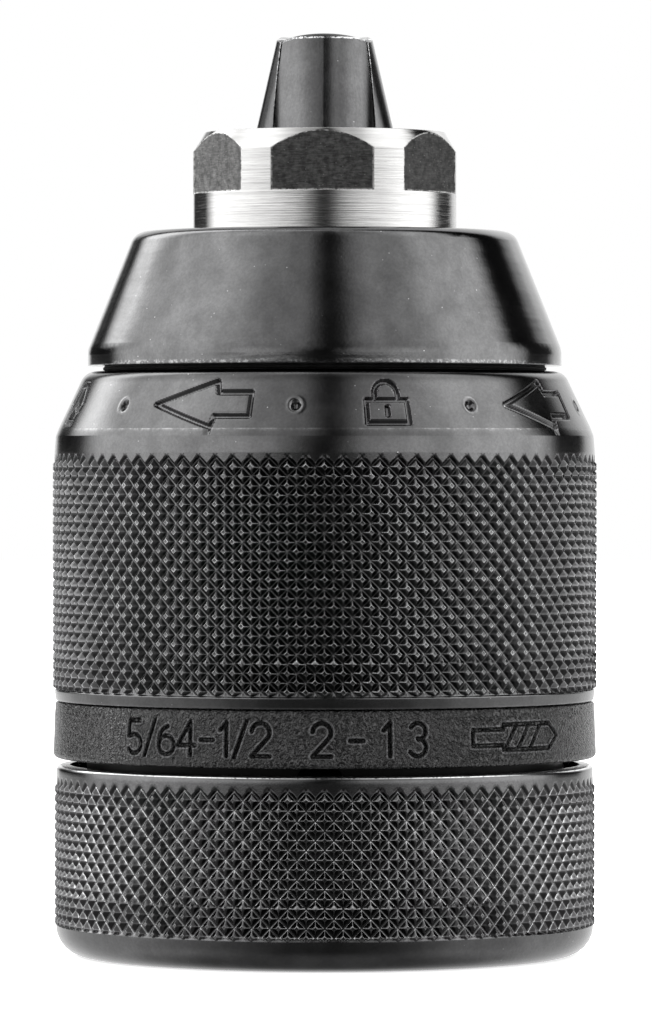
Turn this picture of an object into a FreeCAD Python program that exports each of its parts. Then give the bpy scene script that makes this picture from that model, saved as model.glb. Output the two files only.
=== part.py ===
"""Keyless two-sleeve drill chuck for 2 to 13 mm tool shanks, with a 1/2-20 UNF spindle socket.

Frame: the chuck's axis is Z, its rear face is Z = 0 and the jaws point up. Lengths are millimetres.
One jaw faces -Y. The jaws stand closed, and the front sleeve stands unlocked.

A threaded ring with a conical thread turns on a thrust bearing and feeds three inclined jaws. A drive ring
is pressed over it. The front sleeve drives that ring through three lugs with some free turn, and the free
turn swings a pawl into a ratchet ring, which stops the chuck from opening under load.
"""

import FreeCAD, Part
import math
import os

import Sketcher
from FreeCAD import Placement, Rotation, Vector

DOC = FreeCAD.newDocument("drill_chuck")
SHEET = DOC.addObject("Spreadsheet::Sheet", "Sizes")
X_AXIS, Y_AXIS, Z_AXIS = Vector(1, 0, 0), Vector(0, 1, 0), Vector(0, 0, 1)
FULL_TURN = 360
FRONT = -90
TOOTH_SWEEP = 60
# Cutting shapes reach CLEAR beyond the solid, and added or cut shapes reach OVERLAP into it.
CLEAR = 1
OVERLAP = 0.3
# Turns of thread from the ridge at the ring's bottom up to the groove's end, and in the whole groove.
TURNS_ABOVE, TURNS_IN_ALL = 5.5, 8


# ---------------------------------------------------------------- sizes bound to the sheet

class Size:
    """A length or angle: its value, and the sheet expression that gives it."""

    def __init__(self, value, text):
        self.value = float(value)
        self.text = text

    def __add__(self, other):
        other = size(other)
        return Size(self.value + other.value, f"({self.text} + {other.text})")

    def __sub__(self, other):
        other = size(other)
        return Size(self.value - other.value, f"({self.text} - {other.text})")

    def __mul__(self, other):
        other = size(other)
        return Size(self.value * other.value, f"{self.text} * {other.text}")

    def __truediv__(self, other):
        other = size(other)
        return Size(self.value / other.value, f"{self.text} / {other.text}")

    __radd__ = __add__
    __rmul__ = __mul__


def size(number):
    return number if isinstance(number, Size) else Size(number, f"{number:g}")


def trig(function, angle):
    """The sine, cosine or tangent of an angle in degrees."""
    value = getattr(math, function)(math.radians(angle.value))
    return Size(value, f"{function}({angle.text} * 1 deg)")


class Sizes:
    """Writes the driving dimensions into the sheet, one named cell each."""

    def __init__(self, **values):
        for row, (alias, value) in enumerate(values.items(), start=1):
            SHEET.set(f"A{row}", alias)
            SHEET.set(f"B{row}", f"{value:g}")
            SHEET.setAlias(f"B{row}", alias)
            setattr(self, alias, Size(value, f"Sizes.{alias}"))


S = Sizes(
    # body
    hub_radius=13, hub_top=14, flange_radius=18.6, flange_top=25, seat_radius=16.6, seat_top=31,
    neck_radius=14.2, neck_top=33.9, shaft_radius=10.3, nose_top=64.15,
    flat_width=19, flats_bottom=59.35, nose_chamfer_bottom=62.63, nose_end_radius=9.4,
    socket_radius=6.35, socket_depth=17, socket_mouth=0.9, screw_hole_radius=3.2,
    tool_bore_radius=6.75, tool_bore_bottom=24,
    # jaws
    jaw_radius=4, jaw_clearance=0.03, jaw_tilt=15, jaw_apex=69.86, jaw_tip=71.8, jaw_tail=33.5,
    jaw_flank_gap=0.13, jaw_land=0.7, jaw_tail_chamfer=0.8, jaw_tip_chamfer=0.25,
    # thread between jaws and threaded ring
    pitch=1.8, tooth_depth=0.9, crest_width=0.45, flank_slope=0.45, thread_play=0.13, mesh_radius=12.42,
    lead_angle=1.37, tooth_grooves=17,
    # threaded ring, drive ring and bearing
    ring_bottom=35.4, ring_top=43.5, ring_radius=16, ring_recess_radius=11.7, ring_recess_depth=2,
    race_bore=14.75, race_radius=17.8, lower_race_top=32, upper_race_bottom=34.5,
    ball_radius=1.25, ball_circle=16.1, ball_count=20, cage_bore=14.5, cage_radius=17.7,
    cage_bottom=32.5, cage_top=34.0, ball_hole_radius=1.3,
    skirt_bottom=25.3, skirt_bore=18.1, drive_radius=19.45, drive_shoulder=39.2, drive_waist=17.8,
    drive_neck_bottom=43.6, drive_neck_bore=13, drive_neck_radius=15.6, drive_neck_top=48,
    drive_flange_bore=10.4, drive_flange_radius=14.6, drive_flange_top=49.6,
    notch_width=45, notch_floor=14.3, notch_top=46.5, free_turn=20,
    # lock
    ratchet_top=29.2, ratchet_root=17.3, ratchet_tip=18, ratchet_teeth=24,
    steep_face=28.6, window_width=43, window_centre=13,
    leaf_width=44, leaf_groove_centre=-28, leaf_centre=-26,
    window_bottom=26, window_top=28.6, pawl_play=0.1, pawl_hump=20.15, pawl_tip=18.15, pawl_back=18.9,
    pocket_radius=14, pocket_offset=6.25, pocket_bottom=25.4, pocket_top=29,
    pin_circle=18.8, pin_radius=0.42, pin_play=0.04, pin_azimuth=68, pin_bottom=25.5, pin_top=29.4,
    leaf_radius=19.13, leaf_thickness=0.2,
    detent_bottom=36.5, detent_top=38.5, detent_radius=19.2, detent_thickness=0.25, detent_bump=19.9,
    detent_azimuth=200, detent_opening=40, bump_width=7, bump_flat=2, detent_notch=9,
    hump_ahead=22, slot_play=0.2, notch_play=0.25, land_play=0.02,
    # front sleeve
    sleeve_bottom=19.8, sleeve_top=45.5, sleeve_bore=19.7, sleeve_waist=18, sleeve_bore_top=39.5,
    sleeve_radius=21.25, knurl_bottom=20.84, knurl_top=38.83,
    band_radius=21.1, band_top_radius=21, band_top=40.4, cone_start_radius=20.8, cone_start=41,
    sleeve_top_radius=18.66, sleeve_top_round=1.2, waist_bottom=41,
    lip_bottom=43.9, lip_bore=15.75, lug_width=24, lug_reach=14.45,
    # marking ring
    marking_bottom=15.4, marking_top=19.75, marking_bore=18.75, marking_low_radius=21.2,
    marking_high_radius=21.05, spigot_top=22.2,
    # rear sleeve
    rear_top=14.85, rear_rim_bottom=13.7, rear_rim_radius=20.95, rear_radius=21.1,
    rear_round=2.4, rim_round=0.4,
    rear_bore=19.9, rear_web=3, rear_boss_radius=15.5, rear_boss_top=7,
    # nose cap, circlip and washer
    cap_bottom=45.95, cap_lip=47.2, cap_radius=18.5, cap_top=56.4, cap_top_radius=14.81,
    cap_bore_low=16.8, cap_bore_high=13.4, cap_web_bottom=54.4, cap_hub_bottom=51.4, cap_hub_radius=12.2,
    cap_top_round=1.2, cap_lip_round=2.2,
    clip_bottom=50.2, clip_top=51.2, clip_seat=9.6, clip_radius=12.5, clip_opening=36,
    washer_bore=10.5, washer_radius=12.4,
)


# ---------------------------------------------------------------- sketches and features

def origin_plane(body, role):
    return next(feature for feature in body.Origin.OriginFeatures if feature.Role == role)


def new_sketch(body, name, role, offset=Placement()):
    sketch = body.newObject("Sketcher::SketchObject", name)
    sketch.AttachmentSupport = [(origin_plane(body, role), "")]
    sketch.MapMode = "FlatFace"
    sketch.AttachmentOffset = offset
    return sketch


def pin_point(sketch, edge, end, point):
    """Holds one end of an edge at a point whose two coordinates are bound to the sheet."""
    for kind, length in zip(("DistanceX", "DistanceY"), point):
        number = sketch.addConstraint(Sketcher.Constraint(kind, -1, 1, edge, end, length.value))
        sketch.setExpression(f"Constraints[{number}]", length.text)


def closed_outline(sketch, points):
    """A closed polygon through points, each a pair of sizes."""
    corners = [tuple(size(number) for number in point) for point in points]
    places = [Vector(across.value, up.value, 0) for across, up in corners]
    first = sketch.GeometryCount
    for start, end in zip(places, places[1:] + places[:1]):
        sketch.addGeometry(Part.LineSegment(start, end), False)
    count = len(corners)
    for index, corner in enumerate(corners):
        edge, following = first + index, first + (index + 1) % count
        sketch.addConstraint(Sketcher.Constraint("Coincident", edge, 2, following, 1))
        pin_point(sketch, edge, 1, corner)


def circle(sketch, centre, radius):
    """A circle with its centre and radius bound to the sheet."""
    centre = tuple(size(number) for number in centre)
    place = Vector(centre[0].value, centre[1].value, 0)
    edge = sketch.addGeometry(Part.Circle(place, Z_AXIS, radius.value), False)
    pin_point(sketch, edge, 3, centre)
    number = sketch.addConstraint(Sketcher.Constraint("Radius", edge, radius.value))
    sketch.setExpression(f"Constraints[{number}]", radius.text)


def new_body(label):
    body = DOC.addObject("PartDesign::Body", label)
    body.Label = label
    return body


def revolve(body, kind, name, points, angle=FULL_TURN, azimuth=0):
    """Turns an outline of (radius, height) points about the chuck's axis, centred on an azimuth."""
    turn = Placement(Vector(), Rotation(Y_AXIS, size(azimuth).value))
    sketch = new_sketch(body, name + "_outline", "XZ_Plane", turn)
    sketch.setExpression("AttachmentOffset.Rotation.Angle", size(azimuth).text)
    closed_outline(sketch, points)
    feature = body.newObject("PartDesign::" + kind, name)
    feature.Profile = sketch
    feature.ReferenceAxis = (sketch, ["V_Axis"])
    feature.Midplane = True
    feature.setExpression("Angle", size(angle).text)
    return feature


def turned(label, points):
    """A body that starts as one turned outline."""
    body = new_body(label)
    revolve(body, "Revolution", label + "_turned", points)
    return body


def extrude(body, kind, name, bottom, length, draw):
    """A Pad or Pocket upward from the level bottom, of whatever draw puts in the sketch."""
    level = Placement(Vector(0, 0, bottom.value), Rotation())
    sketch = new_sketch(body, name + "_outline", "XY_Plane", level)
    sketch.setExpression("AttachmentOffset.Base.z", bottom.text)
    draw(sketch)
    feature = body.newObject("PartDesign::" + kind, name)
    feature.Profile = sketch
    feature.setExpression("Length", length.text)
    feature.Reversed = kind == "Pocket"
    return feature


def around(body, feature, count):
    """Repeats a feature evenly about the chuck's axis."""
    pattern = body.newObject("PartDesign::PolarPattern", feature.Name + "_around")
    pattern.Originals = [feature]
    pattern.Axis = (origin_plane(body, "Z_Axis"), [""])
    pattern.Angle = FULL_TURN
    pattern.setExpression("Occurrences", size(count).text)
    body.Tip = pattern
    return pattern


def ring_edges(feature, radius, height):
    """Names of the feature's circular edges of one radius at one height about the axis."""
    DOC.recompute()
    names = []
    for number, edge in enumerate(feature.Shape.Edges, start=1):
        box = edge.BoundBox
        flat = abs(box.ZMax - height.value) < 1e-3 and abs(box.ZMin - height.value) < 1e-3
        round_edge = isinstance(edge.Curve, Part.Circle) and abs(edge.Curve.Radius - radius.value) < 1e-3
        if flat and round_edge:
            names.append(f"Edge{number}")
    return names


def soften(body, kind, name, feature, radius, height, amount):
    """Rounds or chamfers the edge of a given radius and height."""
    edges = ring_edges(feature, radius, height)
    softened = body.newObject("PartDesign::" + kind, name)
    softened.Base = (feature, edges)
    softened.setExpression("Size" if kind == "Chamfer" else "Radius", size(amount).text)
    return softened


def polar(radius, azimuth):
    """A point at a radius and an azimuth in degrees."""
    return radius * trig("cos", azimuth), radius * trig("sin", azimuth)


# ---------------------------------------------------------------- body and what is fixed to it

def jaw_axis_radius(height):
    """Distance of a jaw's axis from the chuck's axis at a height."""
    return (S.jaw_apex - height) * trig("tan", S.jaw_tilt)


def tilted_jaw_plane(height):
    """Placement of a plane square to the axis of the jaw on the +X side, at one height on that axis."""
    return Placement(Vector(jaw_axis_radius(height).value, 0, height.value),
                     Rotation(Y_AXIS, -S.jaw_tilt.value))


def tilted_sketch(body, name, height):
    """A sketch on that plane, whose origin lies on the jaw's axis."""
    sketch = new_sketch(body, name, "XY_Plane", tilted_jaw_plane(height))
    sketch.setExpression("AttachmentOffset.Base.x", jaw_axis_radius(height).text)
    sketch.setExpression("AttachmentOffset.Base.z", height.text)
    return sketch


def chuck_body():
    outline = [
        (S.socket_radius + S.socket_mouth, 0), (S.hub_radius, 0), (S.hub_radius, S.hub_top),
        (S.flange_radius, S.hub_top), (S.flange_radius, S.flange_top), (S.seat_radius, S.flange_top),
        (S.seat_radius, S.seat_top), (S.neck_radius, S.seat_top), (S.neck_radius, S.neck_top),
        (S.shaft_radius, S.neck_top), (S.shaft_radius, S.clip_bottom), (S.clip_seat, S.clip_bottom),
        (S.clip_seat, S.clip_top), (S.shaft_radius, S.clip_top), (S.shaft_radius, S.nose_chamfer_bottom),
        (S.nose_end_radius, S.nose_top), (S.tool_bore_radius, S.nose_top),
        (S.tool_bore_radius, S.tool_bore_bottom), (S.screw_hole_radius, S.tool_bore_bottom),
        (S.screw_hole_radius, S.socket_depth), (S.socket_radius, S.socket_depth),
        (S.socket_radius, S.socket_mouth),
    ]
    body = turned("chuck_body", outline)
    jaw_bores(body)
    wrench_flats(body)
    face_azimuth(body, FRONT)
    return body


def face_azimuth(body, azimuth):
    """Turns a body made facing +X to face an azimuth."""
    body.Placement = Placement(Vector(), Rotation(Z_AXIS, azimuth))


def jaw_bores(body):
    """Three inclined bores for the jaws, opening through the neck, the flange and the nose."""
    start, end = S.hub_top - CLEAR * 10, S.nose_top + CLEAR * 10
    sketch = tilted_sketch(body, "jaw_bore_circle", start)
    circle(sketch, (0, 0), S.jaw_radius + S.jaw_clearance)
    bore = body.newObject("PartDesign::Pocket", "jaw_bore")
    bore.Profile = sketch
    bore.Reversed = True
    bore.setExpression("Length", ((end - start) / trig("cos", S.jaw_tilt)).text)
    around(body, bore, 3)


def wrench_flats(body):
    """Six milled flats with a square shoulder at the bottom, cut with one flat and repeated."""
    reach = S.shaft_radius + CLEAR

    def draw(sketch):
        half = S.flat_width / 2
        closed_outline(sketch, [(half, reach * -1), (reach, reach * -1), (reach, reach), (half, reach)])

    flat = extrude(body, "Pocket", "wrench_flat", S.flats_bottom, S.nose_top - S.flats_bottom + CLEAR, draw)
    around(body, flat, 6)


def lower_race():
    return turned("lower_race", [(S.race_bore, S.seat_top), (S.race_radius, S.seat_top),
                                 (S.race_radius, S.lower_race_top), (S.race_bore, S.lower_race_top)])


def ratchet_ring():
    """Saw teeth whose steep faces stop the pawl from turning anticlockwise, seen from the jaws."""
    outline = [(S.seat_radius, S.flange_top), (S.ratchet_root, S.flange_top),
               (S.ratchet_root, S.ratchet_top), (S.seat_radius, S.ratchet_top)]
    body = turned("ratchet_ring", outline)
    step = size(FULL_TURN) / S.ratchet_teeth
    steep = S.pin_azimuth + S.steep_face
    inside = S.ratchet_root - OVERLAP

    def draw(sketch):
        closed_outline(sketch, [polar(inside, steep), polar(S.ratchet_tip, steep),
                                polar(S.ratchet_root, steep + step), polar(inside, steep + step)])

    tooth = extrude(body, "Pad", "ratchet_tooth", S.flange_top, S.ratchet_top - S.flange_top, draw)
    around(body, tooth, S.ratchet_teeth)
    return body


def nose_cap():
    outline = [(S.cap_bore_low, S.cap_bottom), (S.cap_radius, S.cap_bottom), (S.cap_radius, S.cap_lip),
               (S.cap_top_radius, S.cap_top), (S.shaft_radius, S.cap_top),
               (S.shaft_radius, S.cap_hub_bottom), (S.cap_hub_radius, S.cap_hub_bottom),
               (S.cap_hub_radius, S.cap_web_bottom), (S.cap_bore_high, S.cap_web_bottom)]
    body = turned("nose_cap", outline)
    top = soften(body, "Fillet", "top_round", body.Tip, S.cap_top_radius, S.cap_top, S.cap_top_round)
    soften(body, "Fillet", "lip_round", top, S.cap_radius, S.cap_lip, S.cap_lip_round)
    return body


def cap_circlip():
    """An open ring in the body's groove, under the cap's hub."""
    body = new_body("cap_circlip")
    outline = [(S.clip_seat, S.clip_bottom), (S.clip_radius, S.clip_bottom),
               (S.clip_radius, S.clip_top), (S.clip_seat, S.clip_top)]
    revolve(body, "Revolution", "open_ring", outline, size(FULL_TURN) - S.clip_opening)
    return body


def thrust_washer():
    outline = [(S.washer_bore, S.drive_flange_top), (S.washer_radius, S.drive_flange_top),
               (S.washer_radius, S.clip_bottom), (S.washer_bore, S.clip_bottom)]
    return turned("thrust_washer", outline)


def rear_sleeve():
    outline = [(S.hub_radius, 0), (S.rear_radius, 0), (S.rear_radius, S.rear_rim_bottom),
               (S.rear_rim_radius, S.rear_rim_bottom), (S.rear_rim_radius, S.rear_top),
               (S.rear_bore, S.rear_top), (S.rear_bore, S.rear_web), (S.rear_boss_radius, S.rear_web),
               (S.rear_boss_radius, S.rear_boss_top), (S.hub_radius, S.rear_boss_top)]
    body = turned("rear_sleeve", outline)
    rounded = soften(body, "Fillet", "rear_round", body.Tip, S.rear_radius, size(0), S.rear_round)
    soften(body, "Fillet", "rim_round", rounded, S.rear_rim_radius, S.rear_top, S.rim_round)
    return body


# ---------------------------------------------------------------- jaws and threaded ring

def axial_pitch():
    """Rise of the thread in one turn, along the chuck's axis."""
    return S.pitch * trig("cos", S.jaw_tilt)


def jaw_outer_radius(height):
    """Radius of the cone that the jaws' outermost lines lie on."""
    return jaw_axis_radius(height) + S.jaw_radius / trig("cos", S.jaw_tilt)


def jaw(number):
    """An inclined pin whose top is a wedge between two vertical flanks, with teeth on its outer side."""
    label = f"jaw_{number}"
    third = size(number - 1) / 3
    azimuth, tooth_shift = FRONT + FULL_TURN * third.value, axial_pitch() * third
    body = new_body(label)
    pin_sketch = tilted_sketch(body, "pin_circle", S.jaw_tail)
    circle(pin_sketch, (0, 0), S.jaw_radius)
    pin = body.newObject("PartDesign::Pad", "pin")
    pin.Profile = pin_sketch
    rim_rise = S.jaw_radius * trig("sin", S.jaw_tilt)
    pin.setExpression("Length", ((S.jaw_tip - rim_rise - S.jaw_tail) / trig("cos", S.jaw_tilt)).text)
    tail = chamfer_end(body, pin, "tail_chamfer", min, S.jaw_tail_chamfer)
    body.Tip = chamfer_end(body, tail, "tip_chamfer", max, S.jaw_tip_chamfer)
    wedge(body)
    teeth(body, pin_sketch, tooth_shift)
    face_azimuth(body, azimuth)
    return body


def chamfer_end(body, base, name, pick, width):
    """Chamfers the base's lowest or highest edge: pick is min or max."""
    DOC.recompute()
    edges = base.Shape.Edges
    chosen = pick(range(len(edges)), key=lambda index: edges[index].CenterOfMass.z)
    chamfer = body.newObject("PartDesign::Chamfer", name)
    chamfer.Base = (base, [f"Edge{chosen + 1}"])
    chamfer.setExpression("Size", width.text)
    return chamfer


def wedge(body):
    """Cuts everything outside the jaw's 120 degree sector."""
    reach = S.jaw_radius * 4
    gap, land = S.jaw_flank_gap, S.jaw_land
    slope = trig("tan", size(FULL_TURN / 6))
    corner = gap / trig("cos", size(FULL_TURN / 12))

    def flank_y(across):
        return (across - corner) * slope

    def draw(sketch):
        closed_outline(sketch, [
            (land, flank_y(land)), (reach, flank_y(reach)), (reach * -1, flank_y(reach)),
            (reach * -1, flank_y(reach) * -1), (reach, flank_y(reach) * -1), (land, flank_y(land) * -1)])

    extrude(body, "Pocket", "flanks", S.drive_neck_bottom, S.jaw_tip - S.drive_neck_bottom + reach, draw)


def teeth(body, pin_sketch, shift):
    """Grooves between the teeth: one groove turned about an axis beside the jaw, then repeated along it."""
    rotation = Rotation(Y_AXIS, -S.jaw_tilt.value) * Rotation(X_AXIS, 90 + S.lead_angle.value)
    start = S.ring_bottom - axial_pitch() + shift
    inward = S.mesh_radius - S.jaw_radius
    across = jaw_axis_radius(start) - inward * trig("cos", S.jaw_tilt)
    up = start - inward * trig("sin", S.jaw_tilt)
    sketch = new_sketch(body, "groove_outline", "XY_Plane",
                        Placement(Vector(across.value, 0, up.value), rotation))
    sketch.setExpression("AttachmentOffset.Base.x", across.text)
    sketch.setExpression("AttachmentOffset.Base.z", up.text)
    floor = S.mesh_radius - S.tooth_depth - S.thread_play
    half_floor = S.crest_width / 2 + S.thread_play
    rise = S.tooth_depth + S.thread_play + OVERLAP
    half_top = half_floor + rise * S.flank_slope
    closed_outline(sketch, [(floor, half_floor * -1), (floor + rise, half_top * -1),
                            (floor + rise, half_top), (floor, half_floor)])
    groove = body.newObject("PartDesign::Groove", "tooth_groove")
    groove.Profile = sketch
    groove.ReferenceAxis = (sketch, ["V_Axis"])
    groove.Midplane = True
    groove.Angle = TOOTH_SWEEP
    pattern = body.newObject("PartDesign::LinearPattern", "tooth_grooves")
    pattern.Originals = [groove]
    pattern.Direction = (pin_sketch, ["N_Axis"])
    pattern.Mode = "Spacing"
    pattern.setExpression("Offset", S.pitch.text)
    pattern.setExpression("Occurrences", S.tooth_grooves.text)
    body.Tip = pattern


def threaded_ring():
    """A ring whose conical bore carries a right-handed thread that fits the teeth of the jaws."""
    normal = S.tooth_depth / trig("cos", S.jaw_tilt)
    recess_bottom = S.ring_top - S.ring_recess_depth
    outline = [(jaw_outer_radius(S.ring_bottom) - normal, S.ring_bottom), (S.ring_radius, S.ring_bottom),
               (S.ring_radius, S.ring_top), (S.ring_recess_radius, S.ring_top),
               (S.ring_recess_radius, recess_bottom),
               (jaw_outer_radius(recess_bottom) - normal, recess_bottom)]
    blank = turned("threaded_ring_blank", outline)
    ridge = S.ring_bottom + S.jaw_radius * trig("sin", S.jaw_tilt)
    groove_top = ridge + axial_pitch() * TURNS_ABOVE
    groove = DOC.addObject("Part::Sweep", "thread_groove")
    groove.Sections = [thread_outline(groove_top)]
    helix = thread_path(groove_top)
    DOC.recompute()
    groove.Spine = (helix, [f"Edge{number}" for number in range(1, len(helix.Shape.Edges) + 1)])
    groove.Frenet = True
    groove.Solid = True
    ring = DOC.addObject("Part::Cut", "threaded_ring")
    ring.Base = blank
    ring.Tool = groove
    ring.Label = "threaded_ring"
    face_azimuth(ring, FRONT)
    return ring


def thread_path(top):
    """A conical helix that widens downward from its top, longer than the ring at both ends."""
    helix = DOC.addObject("Part::Helix", "thread_path")
    helix.SegmentLength = 1
    helix.Placement = Placement(Vector(0, 0, top.value), Rotation(X_AXIS, 180))
    helix.setExpression("Placement.Base.z", top.text)
    helix.setExpression("Pitch", axial_pitch().text)
    helix.setExpression("Height", (axial_pitch() * TURNS_IN_ALL).text)
    helix.setExpression("Radius", jaw_outer_radius(top).text)
    helix.setExpression("Angle", S.jaw_tilt.text)
    return helix


def thread_outline(top):
    """The groove between two ridges, square to the cone, open towards the chuck's axis."""
    sine, cosine = trig("sin", S.jaw_tilt), trig("cos", S.jaw_tilt)
    half_open = (S.pitch - S.crest_width) / 2
    half_root = half_open - (S.tooth_depth + S.thread_play) * S.flank_slope
    half_over = half_open + S.flank_slope * OVERLAP

    def on_cone(along, inward):
        return (jaw_outer_radius(top) - along * sine - inward * cosine,
                top + along * cosine - inward * sine)

    sketch = DOC.addObject("Sketcher::SketchObject", "thread_outline")
    sketch.Placement = Placement(Vector(), Rotation(X_AXIS, 90))
    closed_outline(sketch, [
        on_cone(half_root * -1, S.thread_play * -1), on_cone(half_root, S.thread_play * -1),
        on_cone(half_over, S.tooth_depth + OVERLAP), on_cone(half_over * -1, S.tooth_depth + OVERLAP)])
    return sketch


# ---------------------------------------------------------------- bearing and drive ring

def upper_race():
    return turned("upper_race", [(S.race_bore, S.upper_race_bottom), (S.race_radius, S.upper_race_bottom),
                                 (S.race_radius, S.ring_bottom), (S.race_bore, S.ring_bottom)])


def ball_cage():
    body = turned("ball_cage", [(S.cage_bore, S.cage_bottom), (S.cage_radius, S.cage_bottom),
                                (S.cage_radius, S.cage_top), (S.cage_bore, S.cage_top)])

    def draw(sketch):
        circle(sketch, (S.ball_circle, 0), S.ball_hole_radius)

    hole = extrude(body, "Pocket", "ball_hole", S.cage_bottom, S.cage_top - S.cage_bottom, draw)
    around(body, hole, S.ball_count)
    return body


def bearing_balls():
    body = new_body("bearing_balls")
    ball = body.newObject("PartDesign::AdditiveSphere", "ball")
    ball.AttachmentSupport = [(origin_plane(body, "XY_Plane"), "")]
    ball.MapMode = "FlatFace"
    ball.setExpression("Radius", S.ball_radius.text)
    ball.setExpression("AttachmentOffset.Base.x", S.ball_circle.text)
    ball.setExpression("AttachmentOffset.Base.z", ((S.lower_race_top + S.upper_race_bottom) / 2).text)
    around(body, ball, S.ball_count)
    return body


def drive_ring():
    """Carries the threaded ring, the pawl and the springs, with three notches for the sleeve's lugs."""
    outline = [(S.skirt_bore, S.skirt_bottom), (S.drive_radius, S.skirt_bottom),
               (S.drive_radius, S.drive_shoulder), (S.drive_waist, S.drive_shoulder),
               (S.drive_waist, S.drive_neck_bottom), (S.drive_neck_radius, S.drive_neck_bottom),
               (S.drive_neck_radius, S.drive_neck_top), (S.drive_flange_radius, S.drive_neck_top),
               (S.drive_flange_radius, S.drive_flange_top), (S.drive_flange_bore, S.drive_flange_top),
               (S.drive_flange_bore, S.drive_neck_top), (S.drive_neck_bore, S.drive_neck_top),
               (S.drive_neck_bore, S.ring_top), (S.ring_radius, S.ring_top),
               (S.ring_radius, S.ring_bottom), (S.skirt_bore, S.ring_bottom)]
    body = turned("drive_ring", outline)
    beyond = S.drive_radius + CLEAR
    notch = revolve(body, "Groove", "lug_notch", [
        (S.notch_floor, S.drive_neck_bottom), (beyond, S.drive_neck_bottom), (beyond, S.notch_top),
        (S.notch_floor, S.notch_top)], S.notch_width, S.free_turn / -2)
    around(body, notch, 3)
    revolve(body, "Groove", "pawl_window", [
        (S.skirt_bore - CLEAR, S.window_bottom), (beyond, S.window_bottom), (beyond, S.window_top),
        (S.skirt_bore - CLEAR, S.window_top)], S.window_width, S.pin_azimuth + S.window_centre)
    revolve(body, "Groove", "leaf_groove", [
        (S.leaf_radius, S.window_bottom), (beyond, S.window_bottom), (beyond, S.window_top),
        (S.leaf_radius, S.window_top)], S.leaf_width, S.pin_azimuth + S.leaf_groove_centre)
    revolve(body, "Groove", "detent_groove", [
        (S.detent_radius, S.detent_bottom), (beyond, S.detent_bottom), (beyond, S.detent_top),
        (S.detent_radius, S.detent_top)])

    def draw(sketch):
        circle(sketch, polar(S.pin_circle, S.pin_azimuth), S.pin_radius)

    extrude(body, "Pocket", "pin_hole", S.skirt_bottom, S.pin_top - S.skirt_bottom, draw)
    return body


# ---------------------------------------------------------------- lock

def locking_pawl():
    """A strut that swings about its pin, with a hump for the sleeve's pocket and a tip for the ratchet."""
    body = new_body("locking_pawl")
    inner, outer = S.skirt_bore + 0.15, S.drive_radius - 0.1
    bottom = S.window_bottom + S.pawl_play
    height = S.window_top - S.window_bottom - S.pawl_play * 2

    def at(radius, along):
        """A point at a radius, some degrees ahead of the pin."""
        return polar(radius, S.pin_azimuth + along)

    def draw(sketch):
        closed_outline(sketch, [
            at(inner + 0.1, -7), at(inner, 0), at(inner + 0.1, 10), at(inner + 0.25, 20),
            at(S.pawl_tip, 24.5), at(S.pawl_tip, 28), at(outer, 28.3),
            at(S.pawl_hump, 23.4), at(S.pawl_hump, 20.6), at(outer, 15), at(outer, 2), at(S.pawl_back, -3),
            at(S.pawl_back, -7)])

    def draw_hole(sketch):
        circle(sketch, polar(S.pin_circle, S.pin_azimuth), S.pin_radius + S.pin_play)

    extrude(body, "Pad", "strut", bottom, height, draw)
    extrude(body, "Pocket", "pin_hole", bottom, height, draw_hole)
    return body


def pawl_pin():
    pin = DOC.addObject("Part::Cylinder", "pawl_pin")
    pin.Label = "pawl_pin"
    pin.setExpression("Radius", S.pin_radius.text)
    pin.setExpression("Height", (S.pin_top - S.pin_bottom).text)
    across, along = polar(S.pin_circle, S.pin_azimuth)
    pin.setExpression("Placement.Base.x", across.text)
    pin.setExpression("Placement.Base.y", along.text)
    pin.setExpression("Placement.Base.z", S.pin_bottom.text)
    return pin


def pawl_spring():
    """A leaf in a groove of the drive ring, whose free end presses on the back end of the pawl."""
    body = new_body("pawl_spring")
    outer = S.leaf_radius + S.leaf_thickness
    bottom, top = S.window_bottom + S.pawl_play * 2, S.window_top - S.pawl_play * 2
    revolve(body, "Revolution", "leaf", [(S.leaf_radius, bottom), (outer, bottom), (outer, top),
                                         (S.leaf_radius, top)], S.leaf_width,
            S.pin_azimuth + S.leaf_centre)
    return body


def detent_spring():
    """An open ring with one bump that snaps into either notch of the front sleeve."""
    body = new_body("detent_spring")
    outer = S.detent_radius + S.detent_thickness
    revolve(body, "Revolution", "open_ring", [
        (S.detent_radius, S.detent_bottom), (outer, S.detent_bottom), (outer, S.detent_top),
        (S.detent_radius, S.detent_top)], size(FULL_TURN) - S.detent_opening, S.detent_azimuth)

    def draw(sketch):
        foot = outer - S.detent_thickness / 2
        slope, flat = S.bump_width / 2, S.bump_flat / 2
        closed_outline(sketch, [polar(foot, S.detent_azimuth - slope),
                                polar(S.detent_bump, S.detent_azimuth - flat),
                                polar(S.detent_bump, S.detent_azimuth + flat),
                                polar(foot, S.detent_azimuth + slope)])

    extrude(body, "Pad", "bump", S.detent_bottom, S.detent_top - S.detent_bottom, draw)
    return body


# ---------------------------------------------------------------- front sleeve and marking ring

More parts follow.
